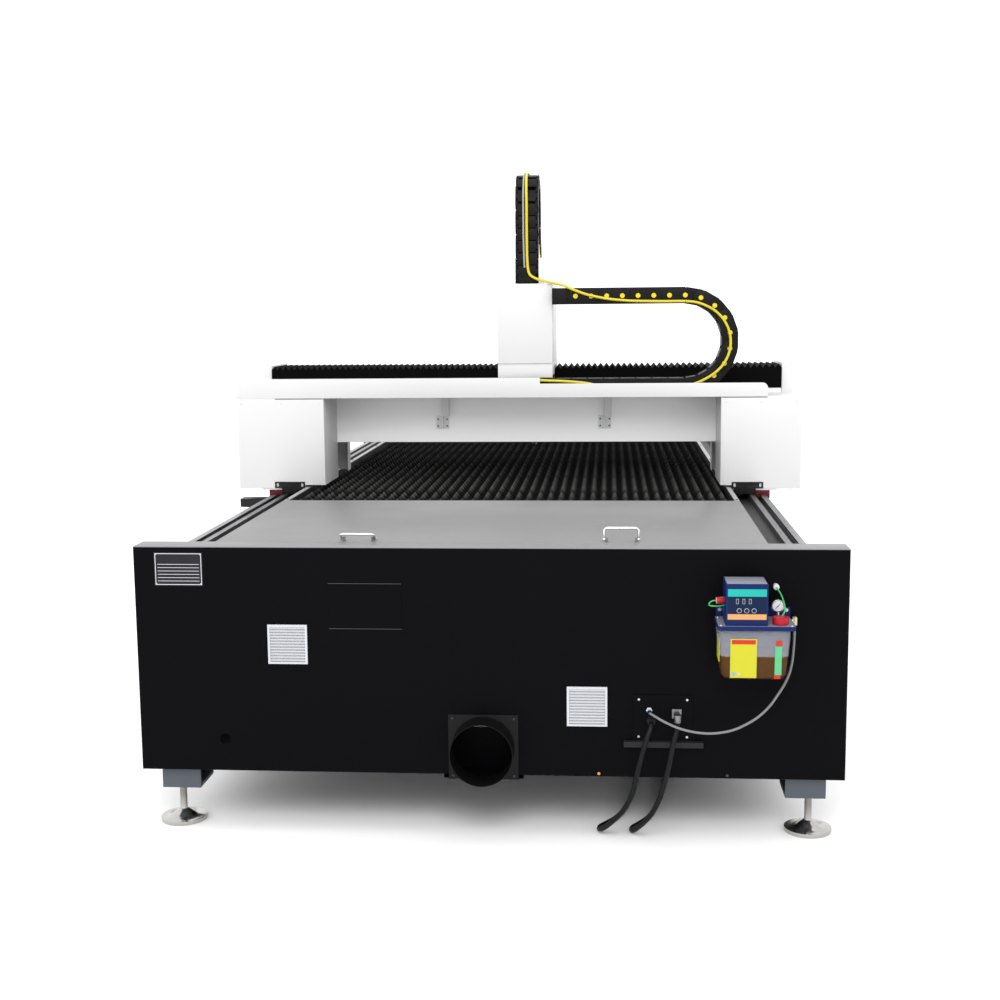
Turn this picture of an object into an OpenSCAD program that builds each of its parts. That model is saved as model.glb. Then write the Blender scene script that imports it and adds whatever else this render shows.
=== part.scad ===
// Open-bed gantry laser cutter for sheet metal, 3 by 1.5 m work area, seen in the photo from its rear end.
// X runs across the bed, Y from the rear panel to the front, Z up from the floor. Millimetres.

/* [Bed] */
// Length from the rear panel's face to the front panel's face
bed_length = 4400; // [4200:10:4800]
// Width of the rear and front panels
panel_width = 2300; // [2250:10:2400]
// Width over the two side beams
bed_width = 2116; // [2080:2:2160]
// Height of the deck above the floor
deck_height = 961; // [920:1:1000]
// Height of the panels' lower edge above the floor
skirt_bottom = 210; // [190:1:240]
// Distance from the rear panel to the first slat
rear_deck_length = 1090; // [1000:10:1150]
// Depth of the grey strip along the top of each end panel
cap_depth = 100; // [80:1:120]
// Thickness of the folded sheets
sheet = 3; // [2:0.5:5]

/* [Cutting bed] */
// Length of the deck plate between the slats and the front cap
front_deck_length = 150; // [100:10:250]
// Distance from one slat to the next
slat_pitch = 68; // [60:1:80]
// Distance from one tooth to the next
tooth_pitch = 44; // [36:1:55]
// Depth of a tooth
tooth_depth = 30; // [20:1:40]
// Height of a slat to its tips
slat_height = 95; // [80:1:110]

/* [Feet] */
// Diameter of a levelling pad
pad_d = 155; // [120:1:180]
// Diameter of a levelling stud
stud_d = 24; // [20:1:30]
// Distance from the middle of the bed to a foot
foot_x = 1031; // [1020:1:1040]

/* [Rear panel] */
// Outer diameter of the exhaust spigot
duct_d = 204; // [180:1:220]
// Length of the exhaust spigot
duct_length = 95; // [60:1:120]
// Size of a square louvre vent
vent_size = 130; // [100:1:150]
// Depth of the oil pump in front of the panel
pump_reach = 150; // [130:1:170]
// Diameter of the oil hose
hose_d = 8; // [6:1:10]
// Diameter of the two black cables
cable_d = 17; // [12:1:20]

/* [Gantry] */
// Distance from the rear panel to the back of the gantry at rest
gantry_back = 1500; // [1400:10:1600]
// Depth of the gantry's end covers
gantry_depth = 595; // [570:1:620]
// How far each end cover stands out past the side beam
cover_overhang = 137; // [125:1:160]
// Height of the beam's lower face
beam_bottom = 1127; // [1100:1:1140]
// Height of the beam section
beam_height = 273; // [260:1:300]
// Depth of the beam section
beam_depth = 240; // [220:1:260]
// Running clearance between a bearing block and its rail
run_gap = 0.3; // [0.2:0.05:0.5]

/* [Carriage] */
// Sideways place of the carriage at rest
carriage_x = 40; // [-40:1:60]
// Width of the carriage cover
carriage_width = 232; // [220:1:250]
// Height of the carriage cover
carriage_height = 335; // [300:1:360]
// Height of the nozzle's tip at rest
nozzle_height = 1062; // [1055:1:1090]

/* [Cable chains] */
// Height of a link of the cross chain
chain_h = 68; // [55:1:75]
// Distance between the links of the cross chain
chain_pitch = 65; // [55:1:80]
// Bend radius of the cross chain at mid-link
chain_r = 189; // [175:1:200]
// Width of the cross chain
chain_w = 100; // [80:1:110]

/* [Hidden] */
$fn = 48;

black = [0.09, 0.09, 0.10];
grey = [0.64, 0.63, 0.64];
white = [0.95, 0.95, 0.95];
steel = [0.60, 0.61, 0.63];
slate = [0.30, 0.33, 0.38];
blue = [0.07, 0.20, 0.55];

// rear panel's face, with the origin in the middle of the whole length
y0 = -(bed_length - pump_reach) / 2;

// bed section
beam_out = bed_width / 2;
beam_in = beam_out - 158;
track_z = deck_height - 53;
beam_low = track_z - 200;
deck_z = deck_height - sheet;
deck_half = beam_in + 5;
upstand = 12;
slat_half = deck_half - 20;
lip_half = deck_half - 18;
tube_h = 90;
post = 128;
wall = 8;
weld_gap = 0.2;
panel_half = panel_width / 2;
slat_end = bed_length - cap_depth - front_deck_length;
slat_tip = deck_height - 6;
slat_low = slat_tip - slat_height;
ledge_low = slat_low - 22;
cross_h = 100;
foot_y = [110, rear_deck_length + 40, (rear_deck_length + slat_end) / 2, bed_length - 110];
stud_x = foot_x + 20;
bracket_h = 75;
bracket_z = skirt_bottom - bracket_h;
bracket_w = 130;
bracket_l = 150;

// rail and rack on each side beam
rail_w = 23;
rail_h = 22;
rail_x = beam_out - 18;
rack_w = 21;
rack_in = rail_x - 56;
rail_start = cap_depth + sheet;
rail_end = bed_length - cap_depth - sheet;
post_l = 35;
post_y = [rail_start + post_l, foot_y[1], foot_y[2], rail_end - post_l];

// things on the rear panel, as [x, z]
duct_at = [-11, 303];
vents_at = [[-647, 640], [326, 444]];
access_at = [-510, 693];
access_size = [239, 149];
plate_at = [-1082, 831];
plate_size = [161, 111];
cables_at = [474, 333];
cables_size = [190, 152];
shelf_at = [444, 315];
shelf_size = [254, 16];
hole_at = [-866, 317];
hose_at = [525, 437];
gland_at = [531, 403];
socket_at = [613, 425];
earth_at = [364, 220];
plug_at = [776, 220];
plenum_half = 130;
plenum_z = [196, 340];

// oil pump
lid_x = [728, 966];
lid_z = 731;
lid_h = 14;
pump_x = [753, 882];
pump_top = 876;
ear_z = 767;
ears_x = [745, 954];
tank_floor = 573;
tank_flare = 11;
oil_level = 647;
gauge_at = [919, 794];
gauge_r = 20;
cap_at = [923, -112];
hose_from = [977, -30, 724];
tap_at = [920, 843];
cap_r = 25;

// handles on the rear deck
handles_x = [-429, 436];
handle_w = 112;
handle_rod = 8;
handle_h = 37;
handle_y = 125;
pivot_z = deck_height + 8;
lug = 8;

// gantry
gantry_front = gantry_back + gantry_depth;
gantry_half = beam_out + cover_overhang;
beam_back = gantry_back + 290;
beam_front = beam_back + beam_depth;
beam_top = beam_bottom + beam_height;
beam_end = gantry_half - 87;
beam_right = beam_end + 34;
cover_low = deck_height - 6;
cover_step = deck_height + 9;
cover_left = 375 - gantry_half;
cover_right = gantry_half - 333;
tray_z = beam_top - 58;
lip_left_top = tray_z + 83;
lip_right_top = tray_z + 58;
lip_step = 105;
tray_right = beam_end - 54;
cap_top = beam_top + 70;
brackets_x = [-341, 378];
bracket_drop = 98;
hinge_drop = 155;
arm_low = track_z - 34;
arm_high = track_z + 1;
arm_drop = 78;
block_low = track_z + 5;
block_high = track_z + 40;
block_w = 60;
block_l = 90;
seal = 6;
foot_z = block_high;
foot_plate = 37;
blocks_y = [gantry_back + 18, gantry_front - 18 - block_l];
motor_y = gantry_back + 150;
pinion_r = 25;
pinion_x = rack_in - pinion_r - run_gap;
shaft_r = 10;
shaft_gap = 0.05;

// carriage
plate_low = beam_top + 30;
plate_high = plate_low + 52;
carriage_half = carriage_width / 2;
cover_top = plate_high + carriage_height;
x_rail_y = [beam_back + 40, beam_front - 40];
x_rail_w = 20;
x_rail_h = 20;
x_rack_y = beam_back + 110;
x_pinion_r = 20;
x_pinion_y = x_rack_y + 20 + x_pinion_r + run_gap;
column_y = beam_front + 70;
column_d = 40;
column_half = 100;
column_z = [plate_low - 230, plate_low + 210];
z_motor_h = 150;
slide_y = column_y + column_d + run_gap;
slide_d = 25;
slide_half = 90;
slide_z = [plate_low - 250, plate_low - 10];
head_y = slide_y + slide_d + 62;
head_r = 42;
head_steps = [14, 40, 100, 380, 470];
arm_z = cover_top + 103;
arm_x = [carriage_x - 20, carriage_x + 35];

// links of all the chains: plate thickness, and how far the round ends stay inside the link's height
link_t = 5;
end_trim = 1;
end_seat = end_trim - run_gap;

// cross chain, in the tray behind the beam
chain_y = gantry_back + 20;
chain_low = tray_z + sheet + 6;
chain_bend_x = carriage_x + 670;
chain_fixed_x = lip_step - 5;
chain_mid = chain_low + chain_h / 2 + chain_r;
chain_start = carriage_x + carriage_half + chain_h / 2 - end_seat;
fibre_d = 11;

// long chain beside the left side beam
long_h = 50;
long_w = 90;
long_r = 125;
long_pitch = 56;
long_x = -gantry_half + 5;
long_low = skirt_bottom + 285;
long_mid = long_low + long_h / 2 + long_r;
long_fixed = slat_end - 1720;
long_start = gantry_front - 45;
long_bend = long_start + 960;
long_end = long_start - long_h / 2 + end_seat;
shelf_end = slat_end;

// standing chain on the carriage
stand_h = 56;
stand_w = 97;
stand_r = 100;
stand_y = gantry_back + 130;
stand_mid = cover_top + 335;
stand_pitch = 52;

// scrap drawers
drawer_gap = 80;
drawers_y = [[foot_y[1] + drawer_gap, foot_y[2] - drawer_gap],
  [foot_y[2] + drawer_gap, slat_end - drawer_gap - 40]];
drawer_z = skirt_bottom + tube_h + 0.5;
drawer_h = 150;
drawer_face = 190;
drawer_half = beam_in - 20;

// cord routes: points chosen by hand along each cord, from its exit to its end
hose_route = [[977, -30, 724], [977, -30, 712], [977, -31, 691], [975, -33, 651], [971, -38, 612],
  [963, -45, 576], [952, -54, 552], [939, -62, 530], [923, -68, 507], [899, -75, 474], [863, -81, 440],
  [822, -86, 415], [782, -89, 398], [744, -90, 390], [707, -90, 387], [659, -88, 391], [611, -82, 402],
  [566, -72, 420], [541, -61, 432], [527, -48, 437], [525, -34, 437]];
supply_route = [[531, -38, 403], [531, -52, 403], [528, -64, 392], [519, -73, 372], [511, -77, 346],
  [500, -78, 308], [487, -76, 253], [475, -66, 189], [462, -56, 151], [443, -40, 111], [417, -16, 73],
  [391, 14, 38], [372, 40, 16], [365, 64, 9], [370, 86, 9], [388, 112, 9], [418, 160, 9], [446, 232, 9],
  [468, 333, 9], [484, 438, 9], [495, 530, 9], [500, 630, 9], [500, 690, 9]];
control_route = [[613, -60, 412], [613, -60, 398], [608, -66, 378], [600, -74, 350], [592, -78, 310],
  [583, -76, 262], [565, -66, 184], [553, -56, 146], [534, -40, 102], [512, -16, 65], [490, 16, 32],
  [476, 40, 14], [471, 62, 9], [477, 84, 9], [495, 112, 9], [520, 154, 9], [542, 212, 9], [567, 318, 9],
  [585, 422, 9], [600, 530, 9], [610, 630, 9], [610, 690, 9]];
fibre_route = [[45, 1730, 2288], [45, 1690, 2282], [45, 1650, 2262], [46, 1620, 2232], [47, 1600, 2192],
  [48, 1594.5, 2145], [48, 1594.5, 2015], [50, 1594.5, 1910], [58, 1592, 1860], [84, 1580, 1840],
  [120, 1560, 1828], [165, 1528, 1818], [205, 1514, 1808], [240, 1514, 1792], [300, 1514, 1770],
  [370, 1514, 1754], [440, 1514, 1745], [500, 1514, 1741], [600, 1514, 1738.5], [709, 1514, 1738]];
head_route = [[46, 1734, 2288], [50, 1770, 2282], [60, 1810, 2262], [72, 1840, 2232], [82, 1860, 2192],
  [88, 1868, 2145], [90, 1868, 2065], [92, 1878, 1985], [94, 1920, 1915], [94, 1985, 1876],
  [94, 2060, 1838], [94, 2115, 1785], [90, 2165, 1725], [80, 2200, 1670], [60, 2222, 1620],
  [44, 2227.3, 1575], [40, 2227.3, 1550], [40, 2227.3, 1532]];
// distance of the fibre from the middle of the cross chain's bend, every 15 degrees from top to bottom
fibre_turn = [164, 165, 168, 174, 180, 185, 188, 189, 187, 183, 180, 182, 188];
coil_r = 103.5;
coils_at = [[379.5, 760], [730.5, 760]];
coil_side = [1, -1];

function unit(v) = v / norm(v);
function along(p, i) = unit(p[min(i + 1, len(p) - 1)] - p[max(i - 1, 0)]);
function carry(p, u, i) = i == 0 ? u : carried(along(p, i), carry(p, u, i - 1));
function carried(t, u) = unit(u - t * (t * u));
function ring(p, u, i, r, n) = let (t = along(p, i), a = carry(p, u, i), b = cross(t, a))
  [for (k = [0:n - 1]) p[i] + r * (cos(360 * k / n) * a + sin(360 * k / n) * b)];

// round tube through the points of a route
module tube(p, r, start_side, n = 10) {
  u = carried(along(p, 0), start_side);
  points = [for (i = [0:len(p) - 1]) each ring(p, u, i, r, n)];
  sides = [for (i = [0:len(p) - 2], k = [0:n - 1])
    [i * n + k, i * n + (k + 1) % n, (i + 1) * n + (k + 1) % n, (i + 1) * n + k]];
  ends = [[for (k = [0:n - 1]) n - 1 - k], [for (k = [0:n - 1]) (len(p) - 1) * n + k]];
  polyhedron(points, concat(sides, ends), convexity = 6);
}

module box(low, high) {
  translate(low) cube(high - low);
}

module both() {
  children();
  mirror([1, 0, 0]) children();
}

module rear() {
  translate([0, y0, 0]) children();
}

// rod along Y from a place on the rear panel towards the viewer
module stem(at, from, to, r) {
  translate([at[0], from, at[1]]) rotate([90, 0, 0]) cylinder(h = from - to, r = r);
}

// rectangular tube along Y
module tube_y(x1, x2, y1, y2, z1, z2, t) {
  difference() {
    box([x1, y1, z1], [x2, y2, z2]);
    box([x1 + t, y1 - 1, z1 + t], [x2 - t, y2 + 1, z2 - t]);
  }
}

function run_links(length, pitch) = round(length / pitch);
function bend_links(r, pitch) = round(PI * r / pitch);

// side plate of a chain link, with round ends about its two pivots
module link_plate(p, h, t) {
  end_r = min(h / 2 - end_trim, p / 2 - 0.6);
  linear_extrude(t) {
    square([p, h], center = true);
    for (s = [-1, 1]) {
      translate([s * p / 2, 0]) circle(r = end_r);
    }
  }
}

// one chain link about its middle: two side plates and two crossbars with lids between the inner plates
module chain_link(p, h, w, inner, inside_lid) {
  t = link_t;
  y = inner * (t + run_gap);
  lid_y = 2 * t + 3 * run_gap;
  rotate([90, 0, 0]) {
    translate([0, 0, -y - t]) link_plate(p, h, t);
    translate([0, 0, y - w]) link_plate(p, h, t);
  }
  for (b = [[-h / 2, 0.46], [h / 2 - t, inside_lid]]) {
    box([-p * 0.18, y + t / 2, b[0]], [p * 0.18, w - y - t / 2, b[0] + t]);
    box([-p * b[1], lid_y, b[0]], [p * b[1], w - lid_y, b[0] + t]);
  }
}

// straight stretch of chain along X, ending in an inner (1) or outer (0) link
module chain_run(length, h, w, pitch, last) {
  n = run_links(length, pitch);
  p = length / n;
  for (i = [0:n - 1]) {
    translate([(i + 0.5) * p, 0, h / 2]) chain_link(p, h, w, (last + n - 1 - i) % 2, 0.46);
  }
}

// square end of a chain, that takes its first pivot between or outside the link's plates
module chain_end(h, w, inner) {
  y = inner * (link_t + run_gap);
  for (z = [-y - link_t, y - w]) {
    translate([0, 0, h / 2]) rotate([90, 0, 0]) translate([0, 0, z]) linear_extrude(link_t) {
      translate([end_trim - h / 2, -h / 2]) square([h / 2 - end_trim, h]);
      circle(r = h / 2 - end_trim);
    }
  }
}

// half turn of chain about Y, from straight down round +X to straight up
module chain_bend(r, h, w, pitch, first) {
  n = bend_links(r, pitch);
  s = 180 / n;
  for (i = [0:n - 1]) {
    rotate([0, -(i + 0.5) * s, 0]) translate([0, 0, -r * cos(s / 2)])
      chain_link(2 * r * sin(s / 2), h, w, (first + i) % 2, 0.3);
  }
}

// welded frame of separate tubes, with a weld gap where they meet
module bed_frame() {
  g = weld_gap;
  color(grey) rear() {
    both() {
      tube_y(beam_in, beam_out, rail_start, rail_end, beam_low, track_z, wall);
      box([deck_half - upstand, rail_start, track_z + g], [deck_half, rail_end, deck_z]);
      box([slat_half - 36, rear_deck_length + g, ledge_low], [beam_in - g, slat_end - g, slat_low]);
      tube_y(beam_out - post, beam_out, rail_start, rail_end, skirt_bottom, skirt_bottom + tube_h, wall);
      for (y = post_y) {
        box([beam_out - post, y - post_l, skirt_bottom + tube_h + g],
          [beam_out, y + post_l, beam_low - g]);
      }
    }
    for (y = post_y) {
      box([post - beam_out + g, y - post_l, skirt_bottom],
        [beam_out - post - g, y + post_l, skirt_bottom + tube_h]);
    }
    for (y = [rail_start, rear_deck_length - 60, slat_end]) {
      box([-deck_half + upstand + g, y, deck_z - cross_h],
        [deck_half - upstand - g, y + 60, deck_z]);
    }
    box([-20, rear_deck_length + g, ledge_low], [20, slat_end - g, slat_low]);
  }
}

module bed_panels() {
  color(black) rear() {
    difference() {
      box([beam_out, rail_start, skirt_bottom], [beam_out + sheet, rail_end, beam_low - 8]);
      for (d = drawers_y) {
        box([beam_out - 1, d[0] - 3, drawer_z - 3],
          [beam_out + sheet + 1, d[1] + 3, drawer_z + drawer_face + 3]);
      }
    }
    box([-beam_out - sheet, rail_start, skirt_bottom], [-beam_out, rail_end, beam_low - 8]);
    box([long_x - 2, long_fixed - 40, long_low - sheet], [-beam_out - sheet, shelf_end, long_low]);
    translate([0, bed_length, 0]) rotate(180) end_panel();
    plenum();
  }
}

// end panel: a face sheet with two side strips and a lower strip welded behind it
module end_panel() {
  y = sheet + weld_gap;
  box([-panel_half, 0, skirt_bottom], [panel_half, sheet, deck_z]);
  both() box([panel_half - sheet, y, skirt_bottom], [panel_half, cap_depth, deck_z]);
  box([sheet + weld_gap - panel_half, y, skirt_bottom],
    [panel_half - sheet - weld_gap, 40, skirt_bottom + sheet]);
}

// box behind the exhaust spigot, open above the frame's rear tube
module plenum() {
  x1 = duct_at[0] - plenum_half;
  x2 = duct_at[0] + plenum_half;
  y1 = sheet + weld_gap;
  y2 = cap_depth - sheet;
  box([x1, y2, plenum_z[0]], [x2, cap_depth, plenum_z[1]]);
  for (x = [x1, x2 - sheet]) {
    box([x, y1, plenum_z[0]], [x + sheet, y2 - weld_gap, plenum_z[1]]);
  }
  box([x1 + sheet + weld_gap, y1, plenum_z[0]],
    [x2 - sheet - weld_gap, y2 - weld_gap, plenum_z[0] + sheet]);
}

// rear panel: its face sheet is welded from three widths that meet above the exhaust opening
module rear_panel() {
  hole = duct_d / 2 - 2;
  seam_z = duct_at[1] + hole - 1;
  color(black) rear() difference() {
    end_panel();
    stem(hole_at, sheet + 1, -1, 18);
    box([duct_at[0] - hole, -1, duct_at[1] - hole], [duct_at[0] + hole, sheet + 1, duct_at[1] + hole]);
    for (x = [duct_at[0] - hole, duct_at[0] + hole - weld_gap]) {
      box([x, -1, seam_z], [x + weld_gap, sheet + 0.1, deck_z + 1]);
    }
    box([duct_at[0] - plenum_half - 1, sheet + 0.1, skirt_bottom - 1],
      [duct_at[0] + plenum_half + 1, 60, skirt_bottom + sheet + 1]);
    for (v = vents_at) {
      box([v[0] - 52, -1, v[1] - 52], [v[0] + 52, sheet + 1, v[1] + 52]);
    }
    box([access_at[0] + 20, -1, access_at[1] + 20],
      [access_at[0] + access_size[0] - 20, sheet + 1, access_at[1] + access_size[1] - 20]);
    box([cables_at[0] + 26, -1, cables_at[1] + 40],
      [cables_at[0] + cables_size[0] - 26, sheet + 1, cables_at[1] + cables_size[1] - 26]);
  }
}

module end_caps() {
  color(grey) rear() {
    box([-panel_half, 0, deck_z], [panel_half, cap_depth, deck_height]);
    box([-panel_half, bed_length - cap_depth, deck_z], [panel_half, bed_length, deck_height]);
    box([-deck_half, slat_end, deck_z], [deck_half, bed_length - cap_depth, deck_height]);
  }
}

module rear_deck() {
  color(grey) rear() {
    box([-deck_half, cap_depth, deck_z], [deck_half, rear_deck_length, deck_height]);
    for (x = handles_x) {
      for (s = [-1, 1]) {
        lug_x = x + s * (handle_w / 2 - handle_rod / 2 - lug / 2 - 0.5);
        difference() {
          box([lug_x - lug / 2, handle_y - 8, deck_height + weld_gap],
            [lug_x + lug / 2, handle_y + 8, pivot_z + 7]);
          translate([lug_x - lug, handle_y, pivot_z]) rotate([0, 90, 0]) cylinder(h = 2 * lug, r = 3.05);
        }
      }
    }
  }
}

// folding handle, drawn upright with its pivot on the X axis
module handle() {
  for (s = [-1, 1]) {
    translate([s * handle_w / 2, 0, 0]) cylinder(h = handle_h, r = handle_rod / 2);
    translate([s * handle_w / 2, 0, 0]) sphere(r = handle_rod / 2);
    translate([s * handle_w / 2, 0, handle_h]) sphere(r = handle_rod / 2);
    translate([s * (handle_w / 2 - 6), 0, 0]) rotate([0, 90, 0]) cylinder(h = 13, r = 3, center = true);
  }
  translate([0, 0, handle_h]) rotate([0, 90, 0]) cylinder(h = handle_w, r = handle_rod / 2, center = true);
}

module handle_left() {
  color(steel) rear() translate([handles_x[0], handle_y, pivot_z]) rotate([60, 0, 0]) handle();
}

module handle_right() {
  color(steel) rear() translate([handles_x[1], handle_y, pivot_z]) handle();
}

module slat_lips() {
  color([0.80, 0.80, 0.80]) rear() both()
    box([lip_half, rear_deck_length, deck_z], [deck_half, slat_end, deck_height]);
}

// one saw-toothed slat standing across the bed
module slat() {
  n = floor(2 * slat_half / tooth_pitch);
  side = (2 * slat_half - n * tooth_pitch) / 2;
  teeth = [for (i = [n - 1:-1:0]) each [
    [slat_half - side - (n - 1 - i) * tooth_pitch, slat_height - tooth_depth],
    [slat_half - side - (n - 0.5 - i) * tooth_pitch, slat_height]]];
  outline = concat([[-slat_half, 0], [slat_half, 0], [slat_half, slat_height - tooth_depth]], teeth,
    [[-slat_half, slat_height - tooth_depth]]);
  rotate([90, 0, 0]) linear_extrude(sheet) polygon(outline);
}

module slats() {
  color([0.16, 0.16, 0.16]) rear()
    for (y = [rear_deck_length + slat_pitch / 2:slat_pitch:slat_end - 10]) {
      translate([0, y, slat_low]) slat();
    }
}

module rails() {
  color(steel) rear() both() difference() {
    box([rail_x - rail_w / 2, rail_start, track_z], [rail_x + rail_w / 2, rail_end, track_z + rail_h]);
    for (x = [rail_x - rail_w, rail_x + rail_w / 2 - 2]) {
      box([x, rail_start - 1, track_z + 9], [x + rail_w / 2 + 2, rail_end + 1, track_z + 15]);
    }
  }
}

module racks() {
  color(steel) rear() both()
    box([rack_in, rail_start, track_z], [rack_in + rack_w, rail_end, track_z + rail_h]);
}

module foot_brackets() {
  color(slate) rear() both() for (y = foot_y) {
    difference() {
      box([foot_x - bracket_w / 2, y - bracket_l / 2, bracket_z],
        [foot_x + bracket_w / 2, y + bracket_l / 2, skirt_bottom]);
      box([foot_x - bracket_w, y - bracket_l / 2 + wall, bracket_z + 12],
        [foot_x + bracket_w / 2 - wall, y + bracket_l / 2 - wall, skirt_bottom - wall]);
      translate([stud_x, y, bracket_z - 1]) cylinder(h = 14, r = stud_d / 2 + 0.5);
    }
  }
}

module levelling_feet() {
  color(steel) rear() both() for (y = foot_y) {
    translate([stud_x, y, 0]) {
      cylinder(h = 13, r = pad_d / 2);
      translate([0, 0, 13]) cylinder(h = 24, r1 = pad_d * 0.29, r2 = stud_d * 0.62);
      cylinder(h = bracket_z + 40, r = stud_d / 2);
      translate([0, 0, bracket_z - 18]) cylinder(h = 18, r = 20, $fn = 6);
      translate([0, 0, bracket_z + 12]) cylinder(h = 18, r = 20, $fn = 6);
    }
  }
}

module exhaust_duct() {
  flange = duct_d / 2 + 12;
  color(black) rear() difference() {
    union() {
      box([duct_at[0] - flange, -sheet, duct_at[1] - flange + 6],
        [duct_at[0] + flange, 0, duct_at[1] + flange - 6]);
      stem(duct_at, 0, -duct_length, duct_d / 2);
    }
    stem(duct_at, 1, -duct_length - 1, duct_d / 2 - 2);
  }
}

module vents() {
  half = vent_size / 2;
  count = 12;
  pitch = (vent_size - 14) / count;
  color(white) rear() for (v = vents_at) {
    translate([v[0], 0, v[1]]) {
      difference() {
        box([-half, -7, -half], [half, 0, half]);
        box([-half + 7, -8, -half + 7], [half - 7, 1, half - 7]);
      }
      for (i = [0:count - 1]) {
        translate([0, -5.6, -half + 7 + (i + 0.1) * pitch]) rotate([62, 0, 0])
          box([-half + 6, 0, -0.8], [half - 6, 10.4, 0.8]);
      }
    }
  }
}

module access_cover() {
  color(black) rear()
    box([access_at[0], -1.5, access_at[1]],
      [access_at[0] + access_size[0], 0, access_at[1] + access_size[1]]);
}

module name_plate() {
  color([0.2, 0.2, 0.2]) rear()
    box([plate_at[0], -1, plate_at[1]], [plate_at[0] + plate_size[0], 0, plate_at[1] + plate_size[1]]);
}

module cable_plate() {
  color(black) rear() {
    box([cables_at[0], -sheet, cables_at[1]],
      [cables_at[0] + cables_size[0], 0, cables_at[1] + cables_size[1]]);
    box([shelf_at[0], -20, shelf_at[1]],
      [shelf_at[0] + shelf_size[0], 0, shelf_at[1] + shelf_size[1] + 2]);
  }
}

module bulkhead_fittings() {
  color(steel) rear() {
    stem(hose_at, -sheet, -14, 10, $fn = 6);
    stem(hose_at, -14, -34, 7);
    stem(gland_at, -sheet, -16, 15, $fn = 6);
    stem(gland_at, -16, -38, 12);
    box([socket_at[0] - 15, -9, socket_at[1] - 15], [socket_at[0] + 15, -sheet, socket_at[1] + 15]);
    stem(socket_at, -9, -58, 10);
    translate([socket_at[0], -60, socket_at[1] - 13]) cylinder(h = 25, r = 12);
    stem(tap_at, 0, -22, 9);
  }
}

// pan-head screw standing on the rear panel, on a plate of thickness t
module panel_screw(x, z, t, r = 4) {
  translate([x, -t, z]) rotate([90, 0, 0]) cylinder(h = 3, r = r);
}

module screws() {
  flange = duct_d / 2;
  color(steel) rear() {
    for (x = [cables_at[0] + 18, cables_at[0] + cables_size[0] - 18],
      z = [cables_at[1] + 14, cables_at[1] + 137]) {
      panel_screw(x, z, sheet);
    }
    for (sx = [-1, 1], sz = [-1, 1]) {
      panel_screw(duct_at[0] + sx * (flange - 2), duct_at[1] + sz * (flange - 6), sheet);
    }
    panel_screw(earth_at[0], earth_at[1], 0, 5);
    panel_screw(plug_at[0], plug_at[1], 0, 5);
    both() for (y = [rear_deck_length + 30:720:slat_end]) {
      translate([(lip_half + deck_half) / 2, y, deck_height]) cylinder(h = 2.5, r = 5);
    }
  }
}

module pump_body() {
  color(blue) rear() {
    box([lid_x[0], -pump_reach, lid_z], [lid_x[1], 0, lid_z + lid_h]);
    box([pump_x[0], -pump_reach + 10, lid_z + lid_h], [pump_x[1], -20, pump_top]);
    translate([pump_x[0] - 14, -90, 819]) rotate([0, 90, 0]) cylinder(h = 15, r = 7);
    translate([lid_x[1] - 1, hose_from[1], lid_z + lid_h / 2]) rotate([0, 90, 0]) cylinder(h = 9, r = 5);
    translate(hose_from) cylinder(h = 26, r = 8, $fn = 6);
    difference() {
      box([lid_x[0] + 6, -sheet - 1, lid_z + 1], [lid_x[1], 0, ear_z + 9]);
      for (x = ears_x) {
        stem([x, ear_z], 1, -sheet - 2, 4);
      }
    }
  }
}

// tapered tank with its mouth under the pump's lid, filled up to a height
module tank_shape(inset, top) {
  flare = tank_flare * (top - tank_floor) / (lid_z - tank_floor);
  x1 = lid_x[0] + 14 + inset;
  x2 = lid_x[1] - 22 - inset;
  y1 = -pump_reach + 20 + inset;
  y2 = -16 - inset;
  hull() {
    box([x1, y1, tank_floor + inset], [x2, y2, tank_floor + inset + 1]);
    box([x1 - flare, y1 - flare, top - 1], [x2 + flare, y2 + flare, top]);
  }
}

module pump_tank() {
  color([0.85, 0.85, 0.80, 0.5]) rear() difference() {
    tank_shape(0, lid_z);
    translate([0, 0, 0.5]) tank_shape(sheet, lid_z);
  }
}

module pump_oil() {
  color([0.80, 0.55, 0.15]) rear() tank_shape(3.6, oil_level);
}

module pump_gauge() {
  color([0.9, 0.9, 0.9]) rear() {
    translate([gauge_at[0], -62, lid_z + lid_h]) cylinder(h = gauge_at[1] - lid_z - lid_h, r = 6);
    stem(gauge_at, -50, -76, gauge_r);
  }
}

module filler_cap() {
  color([0.75, 0.08, 0.08]) rear() translate([cap_at[0], cap_at[1], lid_z + lid_h + run_gap])
    cylinder(h = 24, r = cap_r);
}

module oil_hose() {
  color([0.55, 0.56, 0.56]) rear() tube(hose_route, hose_d / 2, [0, 1, 0], 8);
}

module supply_cable() {
  color(black) rear() tube(supply_route, cable_d / 2, [1, 0, 0]);
}

module control_cable() {
  color(black) rear() tube(control_route, cable_d / 2, [1, 0, 0]);
}

// coil of stored cable on the floor under the bed, with its plug
module cable_end(at, side) {
  translate([at[0], at[1], 0]) {
    x = side * (coil_r + cable_d);
    translate([0, 0, 0.5]) rotate_extrude() translate([coil_r - 1.5 * cable_d, 0])
      square([3 * cable_d, 2 * cable_d]);
    translate([x, 0, 9]) rotate([90, 0, 0]) cylinder(h = 70, r = cable_d / 2 - 0.5);
    translate([x, 0, 26]) rotate([-90, 0, 0]) cylinder(h = 130, r = cable_d / 2 - 0.5);
    translate([x, 130, 20]) rotate([-90, 0, 0]) cylinder(h = 80, r = 19.5);
  }
}

module cable_ends() {
  color(black) rear() for (i = [0, 1]) {
    cable_end(coils_at[i], coil_side[i]);
  }
}

// the long chain runs along Y: chains are drawn along X and turned
module long_chain() {
  rear() translate([long_x + long_w, 0, 0]) rotate(90) children();
}

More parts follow.
